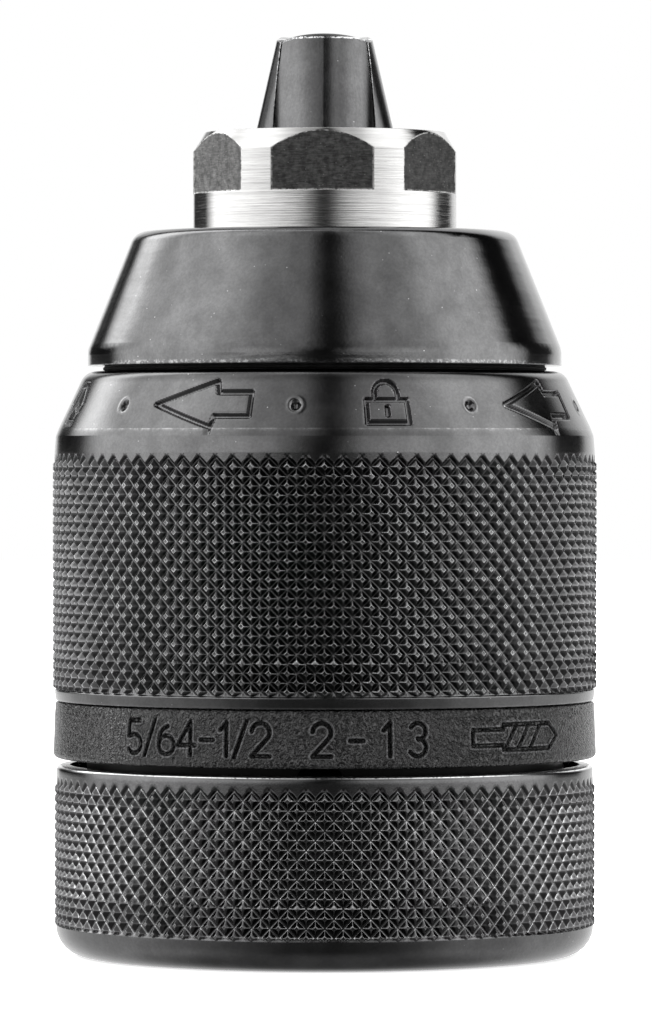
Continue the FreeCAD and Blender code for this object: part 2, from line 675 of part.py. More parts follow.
def front_sleeve():
    outline = [(S.sleeve_bore, S.sleeve_bottom), (S.band_radius, S.sleeve_bottom),
               (S.sleeve_radius, S.knurl_bottom), (S.sleeve_radius, S.knurl_top),
               (S.band_radius, S.knurl_top), (S.band_top_radius, S.band_top),
               (S.cone_start_radius, S.cone_start), (S.sleeve_top_radius, S.sleeve_top),
               (S.lip_bore, S.sleeve_top), (S.lip_bore, S.lip_bottom), (S.sleeve_waist, S.lip_bottom),
               (S.sleeve_waist, S.waist_bottom), (S.sleeve_bore, S.sleeve_bore_top)]
    body = turned("front_sleeve", outline)
    soften(body, "Fillet", "shoulder", body.Tip, S.sleeve_top_radius, S.sleeve_top, S.sleeve_top_round)
    lug_root = S.lip_bore + OVERLAP
    lug = revolve(body, "Revolution", "lug", [
        (S.lug_reach, S.lip_bottom), (lug_root, S.lip_bottom), (lug_root, S.sleeve_top),
        (S.lug_reach, S.sleeve_top)], S.lug_width)
    around(body, lug, 3)

    def draw(sketch):
        circle(sketch, polar(S.pocket_offset, S.pin_azimuth + S.hump_ahead), S.pocket_radius)

    extrude(body, "Pocket", "pawl_pocket", S.pocket_bottom, S.pocket_top - S.pocket_bottom, draw)
    bottom, top = S.detent_bottom - S.slot_play, S.detent_top + S.slot_play
    inside = S.sleeve_bore - CLEAR
    notch_floor, land = S.detent_bump + S.notch_play, S.detent_bump + S.land_play
    for name, floor, width, along in (
            ("detent_land", land, S.free_turn + S.detent_notch, S.free_turn / 2),
            ("unlocked_notch", notch_floor, S.detent_notch, size(0)),
            ("locked_notch", notch_floor, S.detent_notch, S.free_turn)):
        revolve(body, "Groove", name, [(inside, bottom), (floor, bottom), (floor, top), (inside, top)],
                width, S.detent_azimuth + along)
    return body


def marking_ring():
    outline = [(S.marking_bore, S.marking_bottom), (S.marking_low_radius, S.marking_bottom),
               (S.marking_high_radius, S.marking_top), (S.sleeve_bore, S.marking_top),
               (S.sleeve_bore, S.spigot_top), (S.marking_bore, S.spigot_top)]
    body = turned("marking_ring", outline)
    soften(body, "Fillet", "edge_round", body.Tip, S.marking_low_radius, S.marking_bottom, S.rim_round)
    return body


# ---------------------------------------------------------------- build and write

def check_document():
    """Stops if any object failed to build."""
    DOC.recompute()
    for item in DOC.Objects:
        if {"Invalid", "Error"} & set(item.State):
            raise RuntimeError(f"{item.Name} did not build: {item.State}")


def write_parts(nodes):
    check_document()
    for node in nodes:
        if node.Shape.isNull() or not node.Shape.isValid():
            raise RuntimeError(f"{node.Label} has no valid shape")
    os.makedirs("parts", exist_ok=True)
    for node in nodes:
        node.Shape.exportStep(os.path.join("parts", node.Label + ".step"))


write_parts([
    chuck_body(), jaw(1), jaw(2), jaw(3), threaded_ring(), drive_ring(), lower_race(), upper_race(),
    ball_cage(), bearing_balls(), ratchet_ring(), locking_pawl(), pawl_pin(), pawl_spring(),
    detent_spring(), front_sleeve(), marking_ring(), nose_cap(), cap_circlip(), thrust_washer(),
    rear_sleeve(),
])
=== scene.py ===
"""Looks of the keyless drill chuck. Lengths are in millimetres until a mesh is made, which is in metres."""

import math

import bpy
import numpy as np
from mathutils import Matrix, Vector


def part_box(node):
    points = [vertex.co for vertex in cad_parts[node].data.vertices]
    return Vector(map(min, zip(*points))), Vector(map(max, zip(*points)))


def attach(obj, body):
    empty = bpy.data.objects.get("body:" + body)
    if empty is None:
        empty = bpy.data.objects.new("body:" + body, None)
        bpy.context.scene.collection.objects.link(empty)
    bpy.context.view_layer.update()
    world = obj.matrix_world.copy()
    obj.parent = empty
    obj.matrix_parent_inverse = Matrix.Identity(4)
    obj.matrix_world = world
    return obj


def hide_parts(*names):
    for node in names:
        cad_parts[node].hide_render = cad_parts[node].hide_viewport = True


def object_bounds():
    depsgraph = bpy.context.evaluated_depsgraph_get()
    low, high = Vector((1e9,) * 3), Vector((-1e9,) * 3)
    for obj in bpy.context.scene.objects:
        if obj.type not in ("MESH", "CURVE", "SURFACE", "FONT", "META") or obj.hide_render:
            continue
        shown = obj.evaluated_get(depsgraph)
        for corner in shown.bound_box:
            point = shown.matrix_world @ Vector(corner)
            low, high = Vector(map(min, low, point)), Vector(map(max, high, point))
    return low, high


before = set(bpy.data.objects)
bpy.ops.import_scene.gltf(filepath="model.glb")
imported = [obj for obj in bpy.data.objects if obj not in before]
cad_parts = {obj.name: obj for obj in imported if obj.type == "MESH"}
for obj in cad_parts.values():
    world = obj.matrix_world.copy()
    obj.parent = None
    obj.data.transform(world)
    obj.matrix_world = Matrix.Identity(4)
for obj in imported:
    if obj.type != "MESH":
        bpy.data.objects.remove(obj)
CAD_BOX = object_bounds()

MM = 0.001
TURN = 2 * math.pi
TINY = 1e-6
# The camera stands this far to the right of the jaw at the front.
VIEW_TURN = math.radians(1.1)


def box_mm(node):
    """Lowest and highest corners of a CAD node, in millimetres."""
    low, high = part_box(node)
    return np.array(low) / MM, np.array(high) / MM


# -------------------- mesh helpers

class Skin:
    """A surface made of rings of points round the chuck's axis."""

    def __init__(self):
        self.points = []
        self.painted_light = []
        self.faces = []
        self.rings = []
        self.count = 0

    def ring(self, angle, radius, height, painted_light=0.0):
        """Adds one ring; angles are in radians and may be uneven. Returns its number."""
        angle = np.asarray(angle, float)
        radius = np.broadcast_to(radius, angle.shape)
        height = np.broadcast_to(height, angle.shape)
        self.points.append(np.column_stack([radius * np.cos(angle), radius * np.sin(angle), height]))
        self.painted_light.append(np.broadcast_to(painted_light, angle.shape))
        self.rings.append((self.count, len(angle)))
        self.count += len(angle)
        return len(self.rings) - 1

    def join(self, lower, upper, slant=None):
        """Fills between two rings. One may have twice or four times the points of the other.
        slant says for each cell of equal rings whether its diagonal rises; without it cells stay whole."""
        (start_a, count_a), (start_b, count_b) = self.rings[lower], self.rings[upper]
        if count_a == count_b:
            near = np.arange(count_a)
            far = (near + 1) % count_a
            a, b, c, d = start_a + near, start_a + far, start_b + far, start_b + near
            if slant is None:
                self.faces.extend(np.column_stack([a, b, c, d]).tolist())
                return
            for rising, falling in (((a, b, c), (a, b, d)), ((a, c, d), (b, c, d))):
                half = np.where(slant[:, None], np.column_stack(rising), np.column_stack(falling))
                self.faces.extend(half.tolist())
            return
        flip = count_a > count_b
        start_few, count_few = (start_b, count_b) if flip else (start_a, count_a)
        start_many, count_many = (start_a, count_a) if flip else (start_b, count_b)
        ratio = count_many // count_few
        for cell in range(count_few):
            few = [start_few + cell, start_few + (cell + 1) % count_few]
            many = [start_many + (cell * ratio + step) % count_many for step in range(ratio, -1, -1)]
            self.faces.append((few + many)[::-1] if flip else few + many)

    def add(self, previous, angle, radius, height, painted_light=0.0):
        """Adds a ring, fills between it and the previous one, and returns its number."""
        ring = self.ring(angle, radius, height, painted_light)
        self.join(ring, previous)
        return ring

    def close(self, rings):
        """Fills between each ring and the next, and between the last and the first."""
        for lower, upper in zip(rings, rings[1:] + rings[:1]):
            self.join(lower, upper)

    def build(self, name, crease):
        """Makes the object; see finish_mesh."""
        mesh = bpy.data.meshes.new(name)
        mesh.from_pydata((np.vstack(self.points) * MM).tolist(), [], self.faces)
        # the painted light of each point: painted highlights above 0, painted shade below 0
        painted_light = mesh.attributes.new("painted_light", "FLOAT", "POINT")
        painted_light.data.foreach_set("value", np.concatenate(self.painted_light).astype(np.float32))
        return finish_mesh(name, mesh, crease)


def put(name, data):
    """Makes an object of a mesh or camera and puts it in the scene."""
    thing = bpy.data.objects.new(name, data)
    bpy.context.scene.collection.objects.link(thing)
    return thing


def finish_mesh(name, mesh, crease):
    """Makes an object of a mesh, smooth except across edges sharper than crease degrees."""
    mesh.validate()
    mesh.polygons.foreach_set("use_smooth", [True] * len(mesh.polygons))
    mesh.set_sharp_from_angle(angle=math.radians(crease))
    return put(name, mesh)


def even(count):
    """count evenly spaced angles round the axis, the first facing the camera."""
    return VIEW_TURN - TURN / 4 + TURN * np.arange(count) / count


def rounded(corners, steps):
    """A path through (radius, height, round) corners, with each corner rounded by its own radius."""
    path = []
    for index, (across, up, round_size) in enumerate(corners):
        here = np.array([across, up], float)
        if round_size == 0 or index in (0, len(corners) - 1):
            path.append(here)
            continue
        before = np.array(corners[index - 1][:2], float) - here
        after = np.array(corners[index + 1][:2], float) - here
        before, after = before / np.linalg.norm(before), after / np.linalg.norm(after)
        half = math.acos(float(np.clip(before @ after, -1, 1))) / 2
        reach = round_size / math.tan(half)
        centre = here + (before + after) / np.linalg.norm(before + after) * round_size / math.sin(half)
        start, end = here + before * reach - centre, here + after * reach - centre
        for step in range(steps + 1):
            part = step / steps
            swing = start * (1 - part) + end * part
            path.append(centre + swing / np.linalg.norm(swing) * round_size)
    return path


def stroke_distance(across, up, strokes):
    """Distance from each point to the nearest of some strokes, each a list of (across, up) points."""
    nearest = np.full(np.shape(across), np.inf)
    for stroke in strokes:
        for (x0, y0), (x1, y1) in zip(stroke, stroke[1:]):
            dx, dy = x1 - x0, y1 - y0
            part = np.clip(((across - x0) * dx + (up - y0) * dy) / (dx * dx + dy * dy), 0, 1)
            nearest = np.minimum(nearest, np.hypot(across - x0 - part * dx, up - y0 - part * dy))
    return nearest


def smooth_step(low, high, value):
    """0 below low and 1 above high, with soft ends."""
    part = np.clip((value - low) / (high - low), 0, 1)
    return part * part * (3 - 2 * part)


def bump_curve(distance, centre, width):
    """A smooth hump, 1 at the centre."""
    return np.exp(-((distance - centre) / width) ** 2)


def polar(cx, cy, radius, angle):
    """The point at an angle, in degrees, and a radius round a centre."""
    turn = math.radians(angle)
    return cx + radius * math.cos(turn), cy + radius * math.sin(turn)


def arc(cx, cy, radius, start, end, steps=10):
    """Points of an arc, with angles in degrees."""
    return [polar(cx, cy, radius, angle) for angle in np.linspace(start, end, steps + 1)]


def mirrored(half, centre):
    """A path followed by its mirror image across the height of its centre, traced back."""
    return half + [(x, 2 * centre - y) for x, y in half[::-1]]


# -------------------- knurl

DIAMONDS = 94
# Rows and columns of points in a diamond: in the first and last rows of diamonds, and between them.
FINE, COARSE = 16, 8
ROWS_ABOVE = 4
# Distance of a point from the nearest groove, in diamonds: on the groove, at the foot of the flank, on the
# rim of the tip and in the tip's middle.
EVEN_STEP = (0, 1 / 8, 3 / 8, 1 / 2)
FOOT, RIM = EVEN_STEP[1:3]
# For grooves that fall to the left and to the right: how far across a diamond each kind of point really
# lies, and how high it stands. The front knurl has broad cut-off tips, the rear one smaller tips.
CUT_OFF_TIPS = (((0, 0.03, 0.34, 0.5), (0.12, 0.14, 1, 0.95)), ((0, 0.055, 0.36, 0.5), (0, 0.01, 1, 0.95)))
SMALL_TIPS = (((0, 0.07, 0.38, 0.5), (0, 0.04, 1, 0.96)), ((0, 0.07, 0.38, 0.5), (0, 0.04, 1, 0.96)))
# Painted light on a knurl: about 1 for painted highlights on its edges, 0 on plain steel and -1 for painted
# shade in the hollows.
RIM_HIGHLIGHT, RIDGE_HIGHLIGHT, LOWER_RIDGE_SHADE, HOLLOW_SHADE = 1.0, 0.8, -0.4, -1.0
FIRST_GROOVE_SHADE, SECOND_GROOVE_HIGHLIGHT = -0.5, 0.3
# Where a knurl is lit from above, painted light on its ridges, on the feet of its upper flanks and on the
# lower rims of its tips.
LIT_RIDGE_HIGHLIGHT, UPPER_FOOT_HIGHLIGHT, LOWER_RIM_HIGHLIGHT = 0.6, 1.15, 0.1
# A painted highlight on the edge of the band above a knurl and painted shade on the wall below that edge;
# how far a knurl runs out at its foot.
EDGE_HIGHLIGHT, EDGE_WIDTH, WALL_SHADE = 0.7, 0.05, -0.6
RUN_OUT = 0.22


def knurl_shape(around, down, tips, lit_from_above):
    """Place, height and painted light of knurl points: painted highlights and painted shade. Places are in
    diamonds, round the sleeve and down it.
    """
    gaps, places, heights, sides = [], [], [], []
    for line, (place, height) in zip((around + down, around - down), tips):
        near = np.round(line)
        gap = np.abs(line - near)
        gaps.append(gap)
        sides.append(line - near)
        places.append(near + np.sign(line - near) * np.interp(gap, EVEN_STEP, place))
        heights.append(np.interp(gap, EVEN_STEP, height))
    gap = np.minimum(*gaps)
    rim = np.isclose(gap, RIM)
    ridge = np.isclose(gaps[0], gaps[1]) & (gap > TINY) & (gap < RIM)
    lower_ridge = ridge & (sides[0] < 0) & (sides[1] > 0)
    # painted shade in the hollows, the grooves and on the lower ridges; painted highlights on the rims and
    # upper ridges
    painted_light = np.where(gap > RIM + TINY, 0.0, HOLLOW_SHADE)
    painted_light = np.where(rim, RIM_HIGHLIGHT, np.where(ridge & ~lower_ridge, RIDGE_HIGHLIGHT, painted_light))
    painted_light = np.where(lower_ridge, LOWER_RIDGE_SHADE, painted_light)
    groove_light = np.where(gaps[1] < TINY, SECOND_GROOVE_HIGHLIGHT, FIRST_GROOVE_SHADE)
    painted_light = np.where(gap < TINY, groove_light, painted_light)
    # painted light from above: painted highlights on the feet of the upper flanks, less on the ridges and
    # lower rims
    if lit_from_above:
        first_nearer, second_nearer = gaps[0] <= gaps[1] + TINY, gaps[1] <= gaps[0] + TINY
        upper = (first_nearer & (sides[0] > TINY)) | (second_nearer & (sides[1] < -TINY))
        lower = (first_nearer & (sides[0] < -TINY)) | (second_nearer & (sides[1] > TINY))
        painted_light = np.where(ridge, np.minimum(painted_light, LIT_RIDGE_HIGHLIGHT), painted_light)
        painted_light = np.where(upper & np.isclose(gap, FOOT), UPPER_FOOT_HIGHLIGHT, painted_light)
        painted_light = np.where(lower & ~(upper & ridge) & rim, LOWER_RIM_HIGHLIGHT, painted_light)
    return (places[0] + places[1]) / 2, (places[0] - places[1]) / 2, np.minimum(*heights), painted_light


def zigzag_distance(around, down, pitch, repeat):
    """Distance in millimetres to the grooves that bound the first row of diamonds, positive outside."""
    across = np.abs((around + 0.5) % 1 - 0.5)
    part = np.clip((across * pitch * pitch + down * repeat * repeat) * 2 / (pitch ** 2 + repeat ** 2), 0, 1)
    distance = np.hypot((across - part / 2) * pitch, (down - part / 2) * repeat)
    return np.where(down < across, distance, -distance)


def knurl(skin, start, tips, lit_from_above, crest, depth, band_top, band_bottom, top, repeat, repeats):
    """Adds a knurl's rings from its top edge down. crest is the radius at the tips, top the height of the
    first row of crossings, repeat the height of a diamond, repeats how many there are."""
    pitch = TURN * crest / DIAMONDS
    whole = int(repeats)
    rows = list(np.arange(-ROWS_ABOVE, FINE) / FINE)
    rows += list(np.arange(COARSE, whole * COARSE - COARSE) / COARSE)
    rows += list(np.arange((whole - 1) * FINE, round(repeats * FINE) + 1) / FINE)
    previous, previous_down, last = start, None, rows[-1]
    floor = crest - depth
    wall = depth / (tips[1][0][2] * pitch / math.sqrt(2))
    for down in rows:
        columns = FINE if down < 1 or down >= whole - 1 else COARSE
        count = DIAMONDS * columns
        around = np.arange(count) / columns
        place, lower, height, painted_light = knurl_shape(around, np.full(count, down), tips, lit_from_above)
        outside = zigzag_distance(around, down, pitch, repeat) > TINY
        inside = min(1.0, (last - down) * FINE / 2)
        place = np.where(outside, around, around + (place - around) * inside)
        lower = np.where(outside, down, down + (lower - down) * inside)
        away = zigzag_distance(place, lower, pitch, repeat)
        cut = floor + depth * height
        edge = np.minimum(floor + wall * away, band_top)
        radius = np.where(outside, edge, cut)
        runout = floor + (band_bottom - floor) * (1 - smooth_step(0, RUN_OUT, last - lower))
        radius = np.maximum(radius, runout)
        if down in (rows[0], last):
            radius = np.full(count, band_top if down == rows[0] else band_bottom)
        # painted highlight along the band's edge, painted shade on the wall below it
        rise = floor + wall * away - band_top
        edge_light = np.where(rise > 0, EDGE_HIGHLIGHT * bump_curve(rise, 0, EDGE_WIDTH), WALL_SHADE)
        painted_light = np.where(outside, edge_light, painted_light * inside)
        angles = -TURN / 4 + VIEW_TURN + TURN * place / DIAMONDS
        ring = skin.ring(angles, radius, top - lower * repeat, painted_light)
        rising = None
        if previous_down is not None and len(skin.points[ring]) == len(skin.points[previous]):
            middle = (down + previous_down) / 2
            centre = around + 0.5 / columns
            first = np.abs((centre + middle) - np.round(centre + middle))
            second = np.abs((centre - middle) - np.round(centre - middle))
            rising = first < second
        skin.join(ring, previous, rising)
        previous, previous_down = ring, down
    return previous


# -------------------- engraving

# Stroke shapes of the numerals, one unit high, each with its width.
GLYPHS = {
    "1": (0.34, [[(0.04, 0.78), (0.24, 1.0), (0.24, 0.0)]]),
    "2": (0.56, [arc(0.28, 0.72, 0.28, 175, -38) + [(0.0, 0.0), (0.56, 0.0)]]),
    "3": (0.54, [arc(0.26, 0.74, 0.25, 150, -85), arc(0.25, 0.26, 0.27, 88, -150)]),
    "4": (0.60, [[(0.44, 0.0), (0.44, 1.0), (0.0, 0.3), (0.6, 0.3)]]),
    "5": (0.56, [[(0.5, 1.0), (0.08, 1.0), (0.04, 0.54)] + arc(0.27, 0.3, 0.29, 125, -145)]),
    "6": (0.56, [arc(0.28, 0.29, 0.28, 0, 360, 18), [(0.0, 0.3)] + arc(0.45, 0.42, 0.45, 180, 105, 8)]),
    "/": (0.42, [[(0.0, -0.06), (0.4, 1.06)]]),
    "-": (0.52, [[(0.06, 0.47), (0.46, 0.47)]]),
}


def written(text, left, right, base, height):
    """Strokes of a row of numerals that fills the width from left to right."""
    widths = [GLYPHS[letter][0] * height for letter in text]
    gap = (right - left - sum(widths)) / (len(text) - 1)
    strokes, here = [], left
    for letter, width in zip(text, widths):
        for stroke in GLYPHS[letter][1]:
            strokes.append([(here + x * height, base + y * height) for x, y in stroke])
        here += width + gap
    return strokes


def jaw_sign(middle, base, height):
    """A hexagon round three short strokes: the chuck's nose and its jaws, seen from the front."""
    centre, size = base + height / 2, height * 0.56
    jaws = [[polar(middle, centre, part * size, angle) for part in (0.12, 0.62)] for angle in (90, 210, 330)]
    return [arc(middle, centre, size, 0, 360, 6)] + jaws


def padlock(middle, base, height):
    """A closed padlock."""
    half, top = height * 0.52, base + height * 0.56
    body = [(middle - half, base), (middle + half, base), (middle + half, top), (middle - half, top),
            (middle - half, base)]
    bow = height * 0.3
    shackle = [(middle - bow, top)] + arc(middle, top + height * 0.16, bow, 180, 0) + [(middle + bow, top)]
    keyhole = [(middle, base + height * 0.2), (middle, base + height * 0.38)]
    return [body, shackle, keyhole]


def left_arrow(middle, base, height, half_length):
    """A hollow block arrow that points left, the way the sleeve turns to tighten."""
    centre = base + height / 2
    neck, shaft, barb = middle + half_length * 0.28, height * 0.26, height * 0.5
    notch = neck + 0.25
    return [mirrored([(middle - half_length, centre), (neck, centre + barb), (notch, centre + shaft),
                      (middle + half_length, centre + shaft)], centre)]


# -------------------- front sleeve

MOUTH_RADIUS = 17.9
CONE_FOOT_RADIUS, CONE_FOOT, CONE_ROWS = 20.8, 41.0, 50
CONE_EDGE_SHADE = 0.45
BAND_RADIUS, RUN_OUT_RADIUS = 21.1, 20.95
CONE_MARK_RADIUS = 19.9
MARK_DEPTH = 0.32
SIGN_BASE, SIGN_HEIGHT = 41.42, 3.05
ARROW_BASE, ARROW_HEIGHT, ARROW_HALF_LENGTH = SIGN_BASE - 0.32, 3.45, 4.1
DIMPLE_HEIGHT, DIMPLE_DEPTH, DIMPLE_REACH = 42.75, 0.36, 1.2
DIMPLE_ANGLES = (-49.9, -6.3, 33.5, 77.1, 125.7, 169.3, 217.9, 261.5)
ARROW_ANGLES = (-28.1, 55.3, 147.5, 239.7)
SIGN_ANGLES = (13.6, 101.4, 193.6, 285.8)
# Inside: the bore, with a round pocket for the pawl and a slot for the detent, notched at both its ends.
BORE_RADIUS, BORE_TOP = 19.7, 39.5
POCKET_HEIGHTS, SLOT_HEIGHTS = (25.4, 29.0), (36.3, 38.7)
POCKET_OFFSET, POCKET_RADIUS = 6.25, 14.0
SLOT_ANGLE, LOCK_TURN, NOTCH_HALF_ANGLE = 200, 20, 4.5
SLOT_RADIUS, NOTCH_RADIUS = 19.92, 20.15
INNER_CONE_RADIUS, WEB_HEIGHTS = 18.0, (41.0, 43.9)
LUG_RADIUS, WEB_RADIUS, LUG_HALF_ANGLE = 14.45, 15.75, 12


def degrees_from_view(angle):
    """Angle from the camera's side, in degrees, positive to its right."""
    return np.degrees((angle - VIEW_TURN + TURN / 4 + TURN / 2) % TURN - TURN / 2)


def cone_marks(degrees, height):
    """How deep the cone band is cut: arrows, signs and dimples all the way round."""
    depth = np.zeros(np.shape(degrees))
    mm_per_degree = CONE_MARK_RADIUS * TURN / 360

    def along(centre):
        return ((degrees - centre + 180) % 360 - 180) * mm_per_degree

    arrow = left_arrow(0, ARROW_BASE, ARROW_HEIGHT, ARROW_HALF_LENGTH)
    shapes = [(angle, arrow) for angle in ARROW_ANGLES]
    for index, angle in enumerate(SIGN_ANGLES):
        sign = padlock if index % 2 == 0 else jaw_sign
        shapes.append((angle, sign(0, SIGN_BASE, SIGN_HEIGHT)))
    for centre, strokes in shapes:
        across = along(centre)
        near = np.abs(across) < ARROW_HALF_LENGTH + 1
        distance = stroke_distance(across[near], height[near], strokes)
        depth[near] = np.maximum(depth[near], MARK_DEPTH * (1 - smooth_step(0.05, 0.26, distance)))
    for centre in DIMPLE_ANGLES:
        distance = np.hypot(along(centre), height - DIMPLE_HEIGHT)
        bowl = DIMPLE_DEPTH * (1 - smooth_step(0.12, 0.48, distance))
        rim = -0.03 * bump_curve(distance, 0.60, 0.10)
        depth = np.where(distance < DIMPLE_REACH, np.maximum(depth, 0) + bowl + rim, depth)
    return depth


def bore_radius(turns, height):
    """Radius of the sleeve's bore, with the pawl's pocket and the detent's slot and notches."""
    radius = np.full(np.shape(turns), BORE_RADIUS)
    if POCKET_HEIGHTS[0] <= height <= POCKET_HEIGHTS[1]:
        swing = turns - TURN / 4
        away = POCKET_OFFSET * np.sin(swing)
        pocket = POCKET_OFFSET * np.cos(swing) + np.sqrt(POCKET_RADIUS ** 2 - away ** 2)
        radius = np.where(np.cos(swing) > 0, np.maximum(radius, pocket), radius)
    if SLOT_HEIGHTS[0] <= height <= SLOT_HEIGHTS[1]:
        ahead = (np.degrees(turns) - SLOT_ANGLE + 180) % 360 - 180
        slot = (ahead > -NOTCH_HALF_ANGLE) & (ahead < LOCK_TURN + NOTCH_HALF_ANGLE)
        notch = (np.abs(ahead) < NOTCH_HALF_ANGLE) | (np.abs(ahead - LOCK_TURN) < NOTCH_HALF_ANGLE)
        radius = np.where(notch, NOTCH_RADIUS, np.where(slot, SLOT_RADIUS, radius))
    return radius


def front_sleeve():
    """Cone band with markings, long knurl, and a bore with the lugs that turn the drive ring."""
    low, high = box_mm("front_sleeve")
    bottom, top, crest = low[2], high[2], high[0]
    skin = Skin()
    wide = even(DIAMONDS * FINE)
    # outside, from the top edge down
    start = skin.ring(wide, MOUTH_RADIUS, top)
    previous = start
    shoulder = rounded([(MOUTH_RADIUS, top, 0), (18.66, top, 1.2), (CONE_FOOT_RADIUS, CONE_FOOT, 0)], 8)
    # painted shade on the rounded shoulder under the cap
    for radius, height in shoulder[1:-1]:
        previous = skin.add(previous, wide, radius, height, -CONE_EDGE_SHADE)
    top_radius, cone_top = shoulder[-2]
    degrees = degrees_from_view(wide)
    slope = (CONE_FOOT_RADIUS - top_radius) / (cone_top - CONE_FOOT)
    normal = np.array([1, slope]) / math.hypot(1, slope)
    for step in range(1, CONE_ROWS + 1):
        height = cone_top + (CONE_FOOT - cone_top) * step / CONE_ROWS
        radius = top_radius + (CONE_FOOT_RADIUS - top_radius) * step / CONE_ROWS
        depth = cone_marks(degrees, np.full(len(degrees), height))
        # painted highlight round the edges of the marks and along the cone's foot; painted shade under the
        # cap that fades over the first rows
        edge_wear_and_highlight = smooth_step(0.0, 0.02, np.abs(depth)) * (1 - smooth_step(0.03, 0.12, np.abs(depth)))
        painted_light = 0.7 * edge_wear_and_highlight - max(CONE_EDGE_SHADE - step / 16, 0) if step < CONE_ROWS else 0.8
        previous = skin.add(previous, wide, radius - depth * normal[0], height - depth * normal[1], painted_light)
    band = [(CONE_FOOT_RADIUS, CONE_FOOT, 0), (21.0, 40.45, 0.35), (BAND_RADIUS, 39.25, 0)]
    for radius, height in rounded(band, 4)[1:]:
        previous = skin.add(previous, wide, radius, height)
    previous = knurl(skin, previous, CUT_OFF_TIPS, False, crest, depth=0.40, band_top=BAND_RADIUS,
                     band_bottom=RUN_OUT_RADIUS, top=38.78, repeat=1.41, repeats=12.75)
    foot = [(RUN_OUT_RADIUS, 20.8, 0), (BAND_RADIUS, 20.7, 0.1), (21.0, bottom, 0.3), (20.6, bottom, 0)]
    # painted highlight along the bottom edge
    for radius, height in rounded(foot, 4)[1:]:
        previous = skin.add(previous, wide, radius, height, 1.05 if height < bottom + 0.1 else 0.0)
    # inside, from the bottom up
    narrow = even(DIAMONDS * COARSE)
    ledges = [height + side for height in POCKET_HEIGHTS + SLOT_HEIGHTS for side in (-0.01, 0.01)]
    for height in [bottom] + ledges + [BORE_TOP]:
        previous = skin.add(previous, narrow, bore_radius(narrow, height), height)
    for height in WEB_HEIGHTS:
        previous = skin.add(previous, narrow, INNER_CONE_RADIUS, height)
    lug = np.abs((np.degrees(narrow) + 60) % 120 - 60) < LUG_HALF_ANGLE
    for height in (WEB_HEIGHTS[1], top):
        previous = skin.add(previous, narrow, np.where(lug, LUG_RADIUS, WEB_RADIUS), height)
    skin.join(start, previous)
    sleeve = skin.build("front_sleeve_shell", 24)
    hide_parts("front_sleeve")
    return sleeve


# -------------------- marking ring

RING_MARK_RADIUS = 21.12
RING_MM_PER_DEGREE = RING_MARK_RADIUS * TURN / 360
RING_FOOT_RADIUS, RING_TAPER = 21.2, 0.15 / 4.35
RING_INNER_RADIUS, SPIGOT_RADIUS = 18.75, 19.7
RING_MARK_BASE, RING_MARK_HEIGHT = 16.35, 2.5
RING_TEXTS = ((-45.0, -11.3, "5/64-1/2"), (-2.5, 21.3, "2-13"))
DRILL_SIGN_ANGLE, DRILL_SIGN_ZONE = 44.5, (29.5, 59.5)
FINE_COLUMN, COARSE_COLUMN = 0.16, 1.5


def drill_sign(middle, base, height):
    """A twist drill lying on its side: a plain shank, a body with flutes, and a point."""
    centre = base + height / 2
    slim, wide = height * 0.24, height * 0.38
    shank, body, tip = middle - 4.6, middle - 1.7, middle + 3.5
    outline = mirrored([(tip + 1.1, centre), (tip, centre + wide), (body, centre + wide),
                        (body, centre + slim), (shank, centre + slim)], centre)
    flutes = [[(body + start, centre - wide), (body + start + 1.3, centre + wide)]
              for start in (0.1, 1.45, 2.8)]
    return [outline] + flutes


def ring_mark_strokes():
    """Everything cut into the marking ring, as strokes in millimetres along the ring and up the axis."""
    strokes = []
    for start, end, text in RING_TEXTS:
        left, right = start * RING_MM_PER_DEGREE, end * RING_MM_PER_DEGREE
        strokes += written(text, left, right, RING_MARK_BASE, RING_MARK_HEIGHT)
    strokes += drill_sign(DRILL_SIGN_ANGLE * RING_MM_PER_DEGREE, RING_MARK_BASE, RING_MARK_HEIGHT)
    return strokes


def marking_columns():
    """Angles of the ring's columns from the camera's side, close together where it is marked."""
    zones = [(start - 1.5, end + 1.5) for start, end, _ in RING_TEXTS] + [DRILL_SIGN_ZONE]
    half = []
    here = -90.0
    while here < 90.0 - TINY:
        half.append(here)
        marked = any(start <= here + TINY < end for start, end in zones)
        step = FINE_COLUMN if marked else COARSE_COLUMN
        for start, _ in zones:
            if here < start - TINY < here + step:
                step = start - here
        here += step
    half = np.array(half)
    return np.concatenate([half, half + 180])


